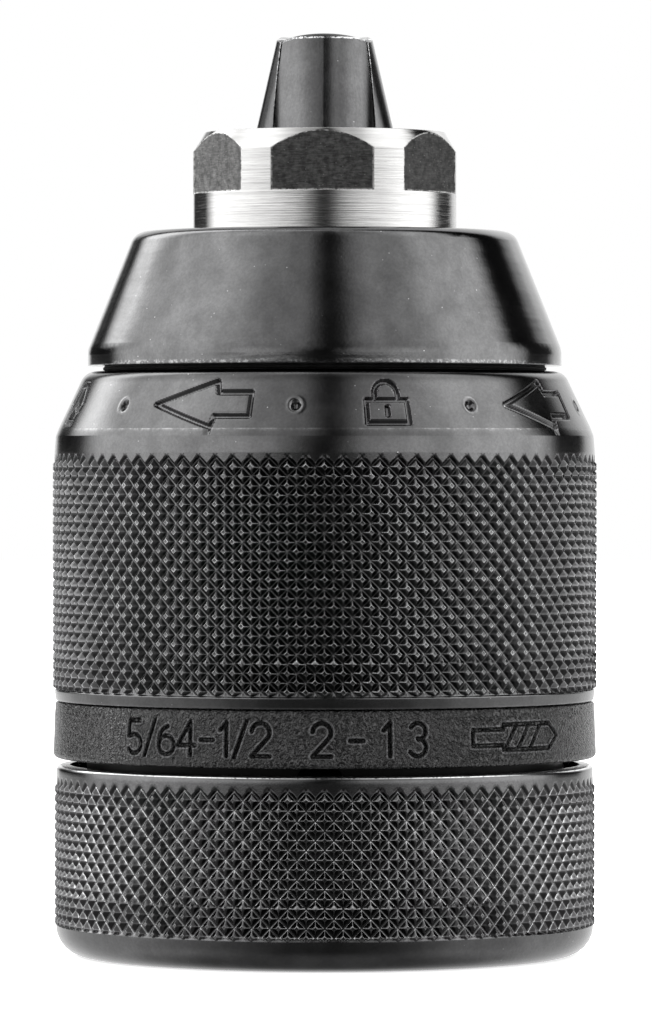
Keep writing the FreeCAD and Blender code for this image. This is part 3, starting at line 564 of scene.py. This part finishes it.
def marking_ring():
    """Moulded ring with the range of shank sizes cut into it, twice round."""
    low, high = box_mm("marking_ring")
    bottom, spigot_top = low[2], high[2]
    columns = marking_columns()
    angles = np.radians(columns - 90) + VIEW_TURN
    along = ((columns + 90) % 180 - 90) * RING_MM_PER_DEGREE
    strokes = ring_mark_strokes()
    skin = Skin()
    foot = [(RING_INNER_RADIUS, bottom, 0), (RING_FOOT_RADIUS, bottom, 0.4), (21.185, 16.1, 0)]
    rings = [skin.ring(angles, radius, height) for radius, height in rounded(foot, 4)]
    for height in np.arange(16.16, 19.04, 0.06):
        radius = RING_FOOT_RADIUS - RING_TAPER * (height - bottom)
        distance = stroke_distance(along, np.full(len(along), height), strokes)
        depth = MARK_DEPTH * (1 - smooth_step(0.07, 0.19, distance))
        lip = 0.03 * bump_curve(distance, 0.25, 0.05)
        # painted highlight round the edges of the marks
        rings.append(skin.ring(angles, radius - depth + lip, height, bump_curve(distance, 0.24, 0.06)))
    top = [(21.05, 19.1, 0), (21.05, 19.75, 0.18), (SPIGOT_RADIUS, 19.75, 0.05),
           (SPIGOT_RADIUS, spigot_top, 0.2), (RING_INNER_RADIUS, spigot_top, 0.1),
           (RING_INNER_RADIUS, bottom, 0)]
    rings += [skin.ring(angles, radius, height) for radius, height in rounded(top, 3)[:-1]]
    skin.close(rings)
    ring = skin.build("marking_ring_shell", 28)
    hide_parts("marking_ring")
    return ring


# -------------------- rear sleeve, ring of painted shade in the cap's gap, and spindle thread

REAR_RIM_RADIUS, REAR_FOOT_RADIUS, REAR_ROUNDING_TOP = 20.95, 20.98, 2.36
SOCKET_RADIUS, BOSS_RADIUS, BOSS_TOP, WEB_TOP, REAR_INNER_RADIUS = 13.0, 15.5, 7.0, 3.0, 19.9
GAP_SHADE_RING_RADIUS = 16.9


def rear_sleeve():
    """Rim, knurl and rounded edge, with a web and a boss that press on the body's hub."""
    low, high = box_mm("rear_sleeve")
    bottom, top, crest = low[2], high[2], high[0]
    skin = Skin()
    wide, narrow = even(DIAMONDS * FINE), even(DIAMONDS * COARSE)
    rim = rounded([(REAR_INNER_RADIUS, top, 0), (REAR_RIM_RADIUS, top, 0.4), (REAR_RIM_RADIUS, 14.2, 0)], 5)
    start = skin.ring(wide, rim[0][0], rim[0][1])
    previous = start
    for radius, height in rim[1:]:
        previous = skin.add(previous, wide, radius, height)
    previous = knurl(skin, previous, SMALL_TIPS, True, crest, depth=0.36, band_top=REAR_RIM_RADIUS,
                     band_bottom=REAR_FOOT_RADIUS, top=13.7, repeat=1.47, repeats=7.69)
    edge = [(REAR_FOOT_RADIUS, REAR_ROUNDING_TOP, 0), (crest - 0.02, 0.0, 2.32), (SOCKET_RADIUS, 0.0, 0.25),
            (SOCKET_RADIUS, BOSS_TOP, 0.25), (BOSS_RADIUS, BOSS_TOP, 0.3), (BOSS_RADIUS, WEB_TOP, 0.4),
            (REAR_INNER_RADIUS, WEB_TOP, 0.8), (REAR_INNER_RADIUS, top, 0)]
    for radius, height in rounded(edge, 8)[1:-1]:
        outside = radius > BOSS_RADIUS + 0.5 and height < REAR_ROUNDING_TOP
        previous = skin.add(previous, wide if outside else narrow, radius, height + bottom)
    skin.join(start, previous)
    sleeve = skin.build("rear_sleeve_shell", 24)
    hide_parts("rear_sleeve")
    return sleeve


def gap_shade_ring():
    """A soft near-black ring that closes the gap between the nose cap and the front sleeve: painted shade
    for the deep gap.
    """
    low = box_mm("front_sleeve")[1][2] + 0.03
    high = box_mm("nose_cap")[0][2] - 0.02
    skin = Skin()
    corners = [(GAP_SHADE_RING_RADIUS, low, 0), (17.45, low, 0.1), (17.2, (low + high) / 2, 0.1), (17.7, high, 0.1),
               (GAP_SHADE_RING_RADIUS, high, 0)]
    skin.close([skin.ring(even(DIAMONDS * 4), radius, height) for radius, height in rounded(corners, 3)])
    return skin.build("gap_shade_ring", 30)


def spindle_thread():
    """The screw thread in the spindle socket, as a ridge that winds up the bore."""
    pitch, root, crest, foot = 1.27, 6.37, 5.73, 1.0
    turns, steps, turns_to_fade = 12.4, 72, 2 / 3
    section = [(root, -0.56), (crest, -0.09), (crest, 0.09), (root, 0.56)]
    points, faces = [], []
    count = int(turns * steps)
    for step in range(count + 1):
        swing = TURN * step / steps
        fade = min(1.0, step / steps / turns_to_fade, (count - step) / steps / turns_to_fade)
        for radius, height in section:
            across = root - (root - radius) * fade
            up = foot + pitch * step / steps + height * fade
            points.append((across * math.cos(swing) * MM, across * math.sin(swing) * MM, up * MM))
    size = len(section)
    for step in range(count):
        for side in range(size):
            a, b = step * size + side, step * size + (side + 1) % size
            faces.append((a, b, b + size, a + size))
    faces.append(tuple(range(size))[::-1])
    faces.append(tuple(count * size + side for side in range(size)))
    mesh = bpy.data.meshes.new("spindle_thread")
    mesh.from_pydata(points, [], faces)
    return finish_mesh("spindle_thread", mesh, 30)


# -------------------- materials

class Nodes:
    """Builds the nodes of one material or world. Most methods return a node's output."""

    def __init__(self, owner):
        self.owner = owner
        owner.use_nodes = True
        self.tree = owner.node_tree
        self.tree.nodes.clear()

    def node(self, kind, inputs=None, **settings):
        """Adds a node; its inputs are numbers or the outputs of other nodes. Returns the node."""
        made = self.tree.nodes.new("ShaderNode" + kind)
        for name, value in settings.items():
            setattr(made, name, value)
        for name, value in (inputs or {}).items():
            if isinstance(value, bpy.types.NodeSocket):
                self.tree.links.new(value, made.inputs[name])
            else:
                made.inputs[name].default_value = value
        return made

    def math(self, operation, *values):
        return self.node("Math", dict(enumerate(values)), operation=operation).outputs[0]

    def times(self, value, *others):
        for other in others:
            value = self.math("MULTIPLY", value, other)
        return value

    def plus(self, value, *others):
        for other in others:
            value = self.math("ADD", value, other)
        return value

    def weigh(self, first, part, second, other_part):
        """The sum of two values, each times its part."""
        return self.plus(self.times(first, part), self.times(second, other_part))

    def above(self, value, limit):
        return self.math("GREATER_THAN", value, limit)

    def below(self, value, limit):
        return self.math("LESS_THAN", value, limit)

    def ramp(self, value, low, high, out_low=0.0, out_high=1.0, kind="SMOOTHSTEP"):
        """value taken from low..high to out_low..out_high, with soft ends unless kind is LINEAR."""
        return self.node("MapRange", {0: value, 1: low, 2: high, 3: out_low, 4: out_high},
                         interpolation_type=kind).outputs[0]

    def spread(self, noise, low, high):
        """The range in which most of a noise lies, taken to low..high."""
        return self.ramp(noise, 0.3, 0.7, low, high)

    def mix(self, factor, first, second):
        """A number between first and second."""
        return self.node("Mix", {0: factor, 2: first, 3: second}, data_type="FLOAT").outputs[0]

    def split(self, vector):
        return self.node("SeparateXYZ", {0: vector}).outputs

    def scaled(self, point, across, up):
        """A point with x and y times across, and z times up."""
        x, y, z = self.split(point)
        parts = (self.times(x, across), self.times(y, across), self.times(z, up))
        return self.node("CombineXYZ", dict(enumerate(parts))).outputs[0]

    def noise(self, vector, scale, detail, roughness, distortion=0.0):
        return self.node("TexNoise", {"Vector": vector, "Scale": scale, "Detail": detail,
                                                "Roughness": roughness, "Distortion": distortion}).outputs[0]

    def cells(self, vector, scale):
        """Distance to the nearest of scattered points."""
        return self.node("TexVoronoi", {"Vector": vector, "Scale": scale}).outputs["Distance"]

    def painted_light(self):
        """The painted light that the mesh's rings carry: painted highlights on edges and painted shade in
        hollows.
        """
        return self.node("Attribute", attribute_name="painted_light").outputs["Fac"]

    def tint(self, value, colour):
        """A grey value tinted with a colour."""
        parts = [self.times(value, channel) for channel in colour]
        return self.node("CombineColor", dict(enumerate(parts))).outputs[0]

    def place(self):
        """The point shaded, in millimetres, in the piece's own frame."""
        point = self.node("TexCoord").outputs["Object"]
        scale = (1 / MM,) * 3
        return self.node("VectorMath", {0: point, 1: scale}, operation="MULTIPLY").outputs[0]

    def radius(self, point):
        """Distance of a point from the chuck's axis."""
        x, y, _ = self.split(point)
        return self.math("SQRT", self.plus(self.times(x, x), self.times(y, y)))

    def round_axis(self, point, round_scale, height_scale, radius_scale=0.0):
        """Coordinates that follow the axis of turning, free of any seam."""
        x, y, z = self.split(point)
        radius = self.radius(point)
        parts = (self.times(self.math("DIVIDE", x, radius), round_scale),
                 self.times(self.math("DIVIDE", y, radius), round_scale),
                 self.weigh(z, height_scale, radius, radius_scale))
        return self.node("CombineXYZ", dict(enumerate(parts))).outputs[0]

    def bump(self, height, distance, normal=None):
        inputs = {"Height": height, "Distance": distance * MM}
        if normal is not None:
            inputs["Normal"] = normal
        return self.node("Bump", inputs).outputs[0]

    def true_up(self):
        """How far the face looks up: 1 straight up, -1 straight down."""
        return self.split(self.node("NewGeometry").outputs["True Normal"])[2]

    def edges(self, radius):
        """How strongly an edge turns within a radius, and the normal rounded by that radius."""
        soft = self.node("Bevel", {"Radius": radius * MM}, samples=6).outputs[0]
        true = self.node("NewGeometry").outputs["Normal"]
        same = self.node("VectorMath", {0: soft, 1: true}, operation="DOT_PRODUCT").outputs["Value"]
        return self.ramp(same, 0.985, 0.80), soft

    def surface(self, **inputs):
        """Ends the material with a principled surface."""
        names = {"colour": "Base Color", "metal": "Metallic", "rough": "Roughness", "normal": "Normal",
                 "specular": "Specular IOR Level"}
        made = self.node("BsdfPrincipled", {names[key]: value for key, value in inputs.items()})
        self.node("OutputMaterial", {0: made.outputs[0]})
        return self.owner


def start_material(name):
    """The nodes of a new material, and the point it shades."""
    f = Nodes(bpy.data.materials.new(name))
    return f, f.place()


BLACK = 0.10
COLD_TINT = (1.0, 1.0, 1.01)


def black_coat(f, point, edge_wear_and_highlight, rough, mottle, speck):
    """Brightness, roughness and fine pits of blackened steel: mottled, with pale specks and brighter edges,
    partly wear and partly painted highlight.
    """
    cloud = f.noise(point, 0.35, 5.0, 0.62)
    fine = f.noise(point, 4.5, 3.0, 0.6)
    tone = f.times(f.spread(cloud, 1 - 0.3 * mottle, 1 + 0.3 * mottle), f.spread(fine, 0.92, 1.08), BLACK)
    dot = f.ramp(f.cells(point, 1.6), 0.10, 0.05)
    chosen = f.ramp(f.noise(point, 1.3, 3.0, 0.7), 0.53, 0.60)
    rub = f.ramp(f.noise(point, 2.7, 4.0, 0.65), 0.42, 0.66)
    value = f.plus(tone, f.times(dot, chosen, 0.22 * speck), f.times(edge_wear_and_highlight, rub, 0.22))
    return value, f.spread(cloud, rough * 0.88, rough * 1.12), fine


def black_surface(f, value, roughness, height, depth, normal):
    """Ends a material as blackened steel with a bump of the given depth."""
    return f.surface(colour=f.tint(value, COLD_TINT), metal=1.0, rough=roughness,
                     normal=f.bump(height, depth, normal))


def blackened(name):
    """Plain blackened steel."""
    f, point = start_material(name)
    edge_wear_and_highlight, normal = f.edges(0.10)
    value, roughness, fine = black_coat(f, point, edge_wear_and_highlight, 0.30, 0.5, 0.5)
    grit = f.noise(point, 16.0, 2.0, 0.6)
    return black_surface(f, value, roughness, f.weigh(fine, 0.6, grit, 0.4), 0.006, normal)


def rubber(name):
    """Matt black rubber with a fine bloom."""
    f, point = start_material(name)
    bloom = f.noise(point, 1.4, 4.0, 0.6)
    pits = f.noise(point, 11.0, 3.0, 0.6)
    return f.surface(colour=f.tint(f.spread(bloom, 0.004, 0.009), (1.0, 1.0, 1.0)),
                     rough=f.spread(pits, 0.55, 0.8), specular=0.15, normal=f.bump(pits, 0.02))


def knurled(name, bright_rim=None):
    """Blackened steel with painted highlights on a knurl's edges and painted shade in its hollows.
    bright_rim is the height of the top edge; just below it, off the top face, the colour is brighter in
    ragged patches.
    """
    f, point = start_material(name)
    edge_wear_and_highlight, normal = f.edges(0.045)
    value, roughness, fine = black_coat(f, point, f.times(edge_wear_and_highlight, 0.35), 0.15, 0.5, 1.3)
    painted_light = f.painted_light()
    # painted highlight lines on the knurl's edges, in patches, and painted shade in its hollows and under
    # the cap
    line = f.math("POWER", f.math("MINIMUM", f.math("MAXIMUM", painted_light, 0.0), 1.2), 4.0)
    patch = f.ramp(f.noise(point, 1.5, 4.0, 0.75), 0.40, 0.66, 0.45, 2.3)
    hollow_shade = f.ramp(painted_light, -0.1, -0.7, 1.0, 0.5)
    value = f.plus(f.times(value, hollow_shade), f.times(line, patch, 0.16))
    if bright_rim is not None:
        near_top = f.ramp(f.split(point)[2], bright_rim - 0.25, bright_rim - 0.15)
        ragged = f.ramp(f.noise(point, 5.0, 3.0, 0.6), 0.3, 0.5)
        value = f.plus(value, f.times(near_top, f.below(f.true_up(), 0.95), ragged, 0.6))
    grit = f.noise(point, 14.0, 2.0, 0.6)
    return black_surface(f, value, roughness, f.weigh(fine, 0.5, grit, 0.5), 0.005, normal)


def lathe_lines(f, point):
    """Heights of the fine lines that a lathe leaves, and of the finest of them."""
    fine = f.noise(f.round_axis(point, 0.35, 7.5, 7.5), 1.0, 4.0, 0.75)
    hair = f.noise(f.round_axis(point, 2.5, 22.0, 22.0), 1.0, 2.0, 0.6)
    return fine, hair


def turned_steel(name):
    """Bright steel with the fine lines that a lathe leaves."""
    f, point = start_material(name)
    fine, hair = lathe_lines(f, point)
    stain = f.noise(point, 0.3, 4.0, 0.6)
    tone = f.times(f.spread(fine, 0.78, 1.12), f.spread(stain, 0.9, 1.08), 0.5)
    _, normal = f.edges(0.15)
    return f.surface(colour=f.tint(tone, (1.0, 0.99, 0.98)), metal=1.0, rough=f.spread(fine, 0.208, 0.325),
                     normal=f.bump(f.weigh(fine, 0.6, hair, 0.4), 0.02, normal))


# Where the chuck body's surfaces lie, for its material: the wrench flats on the nose, and the chamfer above.
NOSE_RADIUS, FLATS_INNER_RADIUS, FLATS_FOOT = 10.3, 9.42, 59.355
CHAMFER_FOOT, CHAMFER_SLOPE = 62.63, 0.592
NOSE_FOOT, TOOL_BORE_RADIUS, SOCKET_BORE_RADIUS, REAR_FACE, FLANGE_RADIUS = 51.5, 6.9, 6.6, 0.3, 17.0


def chuck_body_steel(name):
    """A blackened body with a bright turned nose, rear face and bore, and black milled wrench flats."""
    f, point = start_material(name)
    x, _, z = f.split(point)
    radius = f.radius(point)
    upright = f.below(f.math("ABSOLUTE", f.true_up()), 0.2)
    flat = f.times(f.below(radius, NOSE_RADIUS - 0.015), f.above(z, FLATS_FOOT), upright,
                   f.above(radius, FLATS_INNER_RADIUS))
    nose = f.times(f.above(z, NOSE_FOOT), f.above(radius, TOOL_BORE_RADIUS))
    bright = f.math("MAXIMUM", nose, f.below(z, REAR_FACE))
    bright = f.math("MAXIMUM", bright, f.below(radius, SOCKET_BORE_RADIUS))
    bright = f.times(bright, f.math("SUBTRACT", 1.0, flat))
    edge_wear_and_highlight, normal = f.edges(0.11)
    black, black_rough, fine_pits = black_coat(f, point, edge_wear_and_highlight, 0.34, 0.6, 1.0)
    # the flats: cutter marks across them, blotches, pale specks and ragged bright edges
    mill = f.noise(f.scaled(point, 1.5, 9.0), 1.0, 3.0, 0.65)
    blotch = f.noise(point, 1.8, 5.0, 0.7)
    # the flats are darker towards the camera's right, down to half: painted shade
    milled = f.times(f.spread(mill, 0.7, 1.3), f.spread(blotch, 0.08, 0.20), f.ramp(x, 4.0, 7.0, 1.0, 0.5))
    milled = f.plus(milled, f.ramp(f.cells(point, 2.4), 0.13, 0.07, 0.0, 0.22))
    ragged = f.ramp(f.noise(point, 3.0, 4.0, 0.7), 0.42, 0.56)
    chamfer = f.times(f.math("MAXIMUM", f.math("SUBTRACT", z, CHAMFER_FOOT), 0.0), CHAMFER_SLOPE)
    inset = f.math("SUBTRACT", f.math("SUBTRACT", NOSE_RADIUS, chamfer), radius)
    rubbed = f.math("MAXIMUM", f.ramp(inset, 0.07, 0.035), f.ramp(z, FLATS_FOOT + 0.165, FLATS_FOOT + 0.085))
    milled = f.plus(milled, f.times(rubbed, ragged, 0.5))
    # the flange shows through the slit between the sleeves, which is black in the photograph; it is painted
    # near black, dull and not metallic there, as painted shade for the slit
    flange_painted_shade = f.above(radius, FLANGE_RADIUS)
    black = f.times(f.mix(flat, black, milled), f.mix(flange_painted_shade, 1.0, 0.06))
    fine, hair = lathe_lines(f, point)
    coarse = f.noise(f.round_axis(point, 0.2, 2.6, 2.6), 1.0, 2.0, 0.6)
    tone = f.times(f.spread(fine, 0.88, 1.05), f.spread(coarse, 0.93, 1.04))
    # the bright nose is painted lighter on its edges: painted highlight
    shade = f.mix(bright, black, f.weigh(tone, 0.42, edge_wear_and_highlight, 0.12))
    rough = f.mix(bright, f.mix(flat, black_rough, 0.3), f.spread(fine, 0.08, 0.13))
    pits = f.weigh(blotch, 0.8, mill, 0.6)
    height = f.mix(bright, f.mix(flat, f.times(fine_pits, 0.5), pits), f.weigh(fine, 0.6, hair, 0.4))
    return f.surface(colour=f.tint(shade, (1.0, 0.995, 0.985)), metal=f.mix(flange_painted_shade, 1.0, 0.0), rough=rough,
                     specular=f.mix(flange_painted_shade, 0.5, 0.05), normal=f.bump(height, 0.014, normal))


JAW_RIM_LOW, JAW_RIM_HIGH = 71.34, 71.50


def jaw_steel(name):
    """Blackened jaws with fine lines along them, rubbed edges, and a rubbed rim below a dark chamfer."""
    f, point = start_material(name)
    edge_wear_and_highlight, normal = f.edges(0.13)
    value, roughness, fine = black_coat(f, point, edge_wear_and_highlight, 0.17, 0.4, 1.0)
    z = f.split(point)[2]
    along = f.noise(f.scaled(point, 7.0, 0.5), 1.0, 3.0, 0.6)
    value = f.times(value, f.spread(along, 0.92, 1.06))
    ragged = f.ramp(f.noise(point, 4.5, 4.0, 0.7), 0.42, 0.54)
    rim = f.ramp(z, JAW_RIM_LOW, JAW_RIM_LOW + 0.06)
    rubbed = f.math("MAXIMUM", f.times(f.ramp(z, 65.0, 70.6), edge_wear_and_highlight), rim)
    rubbed = f.times(rubbed, f.ramp(z, JAW_RIM_HIGH, JAW_RIM_HIGH - 0.03))
    # above the rim the chamfer is painted darker: painted shade
    value = f.times(value, f.ramp(z, JAW_RIM_HIGH - 0.03, JAW_RIM_HIGH + 0.02, 1.0, 0.4))
    value = f.plus(value, f.times(rubbed, ragged, 0.8))
    return black_surface(f, value, roughness, f.weigh(along, 0.5, fine, 0.5), 0.008, normal)


def cap_steel(name):
    """Glossy black cap, a little clouded, with a rubbed lower lip."""
    f, point = start_material(name)
    edge_wear_and_highlight, normal = f.edges(0.12)
    value, roughness, fine = black_coat(f, point, edge_wear_and_highlight, 0.11, 0.6, 1.1)
    ragged = f.ramp(f.noise(point, 3.2, 4.0, 0.7), 0.46, 0.62)
    value = f.plus(value, f.times(f.ramp(f.split(point)[2], 46.35, 46.1), ragged, 0.16))
    wave = f.noise(f.round_axis(point, 2.0, 0.9), 1.0, 2.0, 0.5)
    return black_surface(f, value, roughness, f.weigh(fine, 0.5, wave, 3.0), 0.008, normal)


def ground_steel(name, value, rough, scratch, tint=(1.0, 1.0, 1.0)):
    """Metal, ground or polished, with fine scratches and small stains."""
    f, point = start_material(name)
    lines = f.noise(f.round_axis(point, 3.0, 14.0, 14.0), 1.0, 3.0, 0.65)
    stain = f.noise(point, 0.8, 4.0, 0.6)
    shade = f.times(f.spread(stain, value * 0.85, value * 1.1), f.spread(lines, 0.9, 1.05))
    _, normal = f.edges(0.08)
    return f.surface(colour=f.tint(shade, tint), metal=1.0, rough=f.spread(stain, rough * 0.8, rough * 1.3),
                     normal=f.bump(lines, 0.01 * scratch, normal))


def grained_plastic(name):
    """Black moulded plastic with a fine, worm-like spark-eroded grain."""
    f, point = start_material(name)
    worms = f.noise(point, 2.4, 1.0, 0.5, 0.9)
    ridge = f.ramp(f.math("ABSOLUTE", f.math("SUBTRACT", worms, 0.5)), 0.0, 0.13, 1.0, 0.0)
    pits = f.noise(point, 5.0, 2.0, 0.5)
    # brighter round the cut marks: painted highlight
    value = f.plus(f.ramp(ridge, 0.0, 1.0, 0.002, 0.006), f.times(f.painted_light(), 0.07))
    _, normal = f.edges(0.10)
    return f.surface(colour=f.tint(value, (1.0, 1.0, 1.02)), rough=f.spread(pits, 0.15, 0.21), specular=0.46,
                     normal=f.bump(f.weigh(ridge, 0.7, pits, 0.3), 0.22, normal))


def paint(thing, material):
    """Gives a thing one material in every slot."""
    if not thing.data.materials:
        thing.data.materials.append(material)
    for index in range(len(thing.data.materials)):
        thing.data.materials[index] = material


# -------------------- the object

FINISHES = {
    "blackened_steel": blackened("blackened_steel"),
    "jaw_steel": jaw_steel("jaw_steel"),
    "hardened_steel": ground_steel("hardened_steel", 0.42, 0.3, 0.6),
    "bearing_steel": ground_steel("bearing_steel", 0.75, 0.12, 0.2),
    "spring_steel": ground_steel("spring_steel", 0.3, 0.28, 0.4, (0.95, 0.98, 1.1)),
    "cage_brass": ground_steel("cage_brass", 0.7, 0.32, 0.6, (1.0, 0.78, 0.38)),
    "turned_steel": turned_steel("turned_steel"),
    "moulded_plastic": grained_plastic("moulded_plastic"),
}

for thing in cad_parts.values():
    paint(thing, FINISHES[thing.data.materials[0].name.split(".")[0]])
paint(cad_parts["chuck_body"], chuck_body_steel("chuck_body_steel"))
paint(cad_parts["nose_cap"], cap_steel("cap_steel"))


def add_piece(piece, body, material):
    """Paints a piece and makes it ride on a body."""
    paint(piece, material)
    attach(piece, body)


add_piece(front_sleeve(), "sleeve", knurled("front_sleeve_steel"))
# a near-black ring in the gap between cap and sleeve, as painted shade
add_piece(gap_shade_ring(), "body", rubber("gap_shade_rubber"))
add_piece(rear_sleeve(), "body", knurled("rear_sleeve_steel", box_mm("rear_sleeve")[1][2]))
add_piece(marking_ring(), "sleeve", FINISHES["moulded_plastic"])
add_piece(spindle_thread(), "body", FINISHES["turned_steel"])


# -------------------- floor, light and camera

# What the steel sees, as (angle from the camera's side in degrees, brightness): at its own level, a little
# above it, well above it, and below it.
LEVEL_PANELS = (
    (-180, 1.1), (-165, 1.1), (-158, 0.1), (-126, 0.1), (-120, 1.2), (-112, 2.7), (-99, 2.9), (-75, 2.6),
    (-55, 1.9), (-37, 1.0), (-19, 0.25), (-6, 0.05), (8, 0.05), (15, 0.15), (32, 1.05), (51, 1.8), (71, 2.8),
    (93, 2.9), (104, 2.7), (112, 1.2), (118, 0.1), (138, 0.1), (146, 1.1), (180, 1.1))
NARROW_PANELS = (
    (-180, 1.1), (-168, 1.1), (-160, 0.03), (-128, 0.03), (-121, 1.2), (-113, 2.7), (-99, 2.9), (-75, 2.6),
    (-55, 2.2), (-37, 2.0), (-24, 1.5), (-15, 0.9), (-8, 0.12), (-2, 0.03), (4, 0.03), (10, 0.5), (17, 1.2),
    (35, 1.9), (51, 2.1), (71, 2.8), (93, 2.9), (104, 2.7), (112, 1.2), (118, 0.05), (142, 0.05), (150, 1.1),
    (180, 1.1))
RAISED_PANELS = (
    (-180, 1.1), (-157, 1.1), (-152, 0.1), (-147, 0.3), (-142, 3.6), (-137, 5.0), (-128, 5.0), (-121, 3.0),
    (-112, 2.2), (-98, 2.9), (-72, 2.9), (-62, 2.5), (-41, 1.45), (-24, 1.0), (-12, 0.85), (-6, 0.35),
    (0, 0.07), (5, 0.05), (10, 0.15), (19, 0.8), (30, 1.3), (42, 1.2), (54, 1.6), (67, 2.5), (87, 2.8),
    (101, 2.7), (107, 1.6), (114, 0.02), (133, 0.02), (141, 1.5), (150, 1.8), (180, 1.1))
LOW_PANELS = (
    (-180, 1.0), (-103, 1.2), (-85, 1.0), (-69, 0.83), (-54, 0.53), (-40, 0.25), (-26, 0.10), (-13, 0.045),
    (0, 0.035), (12, 0.045), (26, 0.09), (39, 0.24), (53, 0.5), (68, 0.8), (84, 1.0), (103, 1.3), (180, 1.0))
BRIGHTEST = 7.0
STRAIGHT_DOWN = 0.25
FLOOR_HALF, FLOOR_GAP = 2.0, 0.00002
FLOOR_GREY, FLOOR_GLOW, FLOOR_CLEAR_IN_STEEL = 0.9, 0.72, 0.97
CAMERA_AWAY, CAMERA_ACROSS, CAMERA_HEIGHT, CAMERA_SHIFT = 0.516, 0.0001, 0.0386, -0.0508
SENSOR_MM, LENS_MM = 36, 232


def panels(f, turn, stops_wanted):
    """Brightness of the panels in one direction, from a table of angles."""
    ramp = f.node("ValToRGB", {0: f.ramp(turn, -TURN / 2, TURN / 2, kind="LINEAR")})
    stops = ramp.color_ramp.elements
    for index, (degree, level) in enumerate(stops_wanted):
        position = (degree + 180) / 360
        stop = stops.new(position) if 0 < index < len(stops_wanted) - 1 else stops[0 if index == 0 else -1]
        stop.position = position
        stop.color = (level / BRIGHTEST,) * 3 + (1,)
    return f.times(ramp.outputs["Color"], BRIGHTEST)


def studio():
    """White surroundings for the camera; for the steel, soft panels whose brightness goes by direction."""
    world = bpy.data.worlds.new("studio")
    bpy.context.scene.world = world
    f = Nodes(world)
    x, y, z = f.split(f.node("TexCoord").outputs["Generated"])
    side = f.weigh(x, math.cos(VIEW_TURN), y, math.sin(VIEW_TURN))
    front = f.weigh(x, math.sin(VIEW_TURN), y, -math.cos(VIEW_TURN))
    turn = f.math("ARCTAN2", side, front)
    shown = f.mix(f.ramp(z, 0.012, 0.032), panels(f, turn, LEVEL_PANELS), panels(f, turn, NARROW_PANELS))
    shown = f.mix(f.ramp(z, 0.12, 0.42), shown, panels(f, turn, RAISED_PANELS))
    low = f.mix(f.ramp(z, -0.6, -0.95), panels(f, turn, LOW_PANELS), STRAIGHT_DOWN)
    shown = f.mix(f.ramp(z, -0.01, -0.08), shown, low)
    shown = f.mix(f.ramp(z, 0.80, 0.95), shown, f.plus(f.times(shown, 0.6), 0.12))
    seen_by_camera = f.node("LightPath").outputs["Is Camera Ray"]
    light = f.node("Background", {0: (1, 1, 1, 1), 1: f.mix(seen_by_camera, shown, 1.0)})
    f.node("OutputWorld", {0: light.outputs[0]})


def pale_floor():
    """A pale sheet that takes a soft shadow, hardly shows in the steel and is clear from below."""
    half = FLOOR_HALF
    corners = [(-half, -half, 0), (half, -half, 0), (half, half, 0), (-half, half, 0)]
    mesh = bpy.data.meshes.new("floor")
    mesh.from_pydata(corners, [], [(0, 1, 2, 3)])
    floor = put("floor", mesh)
    floor.location.z = CAD_BOX[0][2] - FLOOR_GAP
    f = Nodes(bpy.data.materials.new("floor"))
    pale = f.node("BsdfDiffuse", {0: (FLOOR_GREY, FLOOR_GREY, FLOOR_GREY, 1)})
    glow = f.node("Emission", {0: (1, 1, 1, 1), 1: FLOOR_GLOW})
    both = f.node("AddShader", {0: pale.outputs[0], 1: glow.outputs[0]})
    clear = f.node("BsdfTransparent")
    in_steel = f.node("LightPath").outputs["Is Glossy Ray"]
    from_below = f.node("NewGeometry").outputs["Backfacing"]
    unseen = f.math("MAXIMUM", f.ramp(in_steel, 0.0, 1.0, 0.0, FLOOR_CLEAR_IN_STEEL, "LINEAR"), from_below)
    mixed = f.node("MixShader", {0: unseen, 1: both.outputs[0], 2: clear.outputs[0]})
    f.node("OutputMaterial", {0: mixed.outputs[0]})
    mesh.materials.append(f.owner)


def camera():
    """Level with the middle of the chuck and in front of it, shifted so that all of it is in the frame."""
    lens = bpy.data.cameras.new("camera")
    lens.sensor_width = SENSOR_MM
    lens.lens = LENS_MM
    lens.shift_y = CAMERA_SHIFT
    thing = put("camera", lens)
    sine, cosine = math.sin(VIEW_TURN), math.cos(VIEW_TURN)
    thing.location = (CAMERA_AWAY * sine + CAMERA_ACROSS * cosine,
                      CAMERA_ACROSS * sine - CAMERA_AWAY * cosine, CAMERA_HEIGHT)
    thing.rotation_euler = (TURN / 4, 0, VIEW_TURN)
    bpy.context.scene.camera = thing


bpy.context.scene.view_settings.view_transform = "Standard"
studio()
pale_floor()
camera()
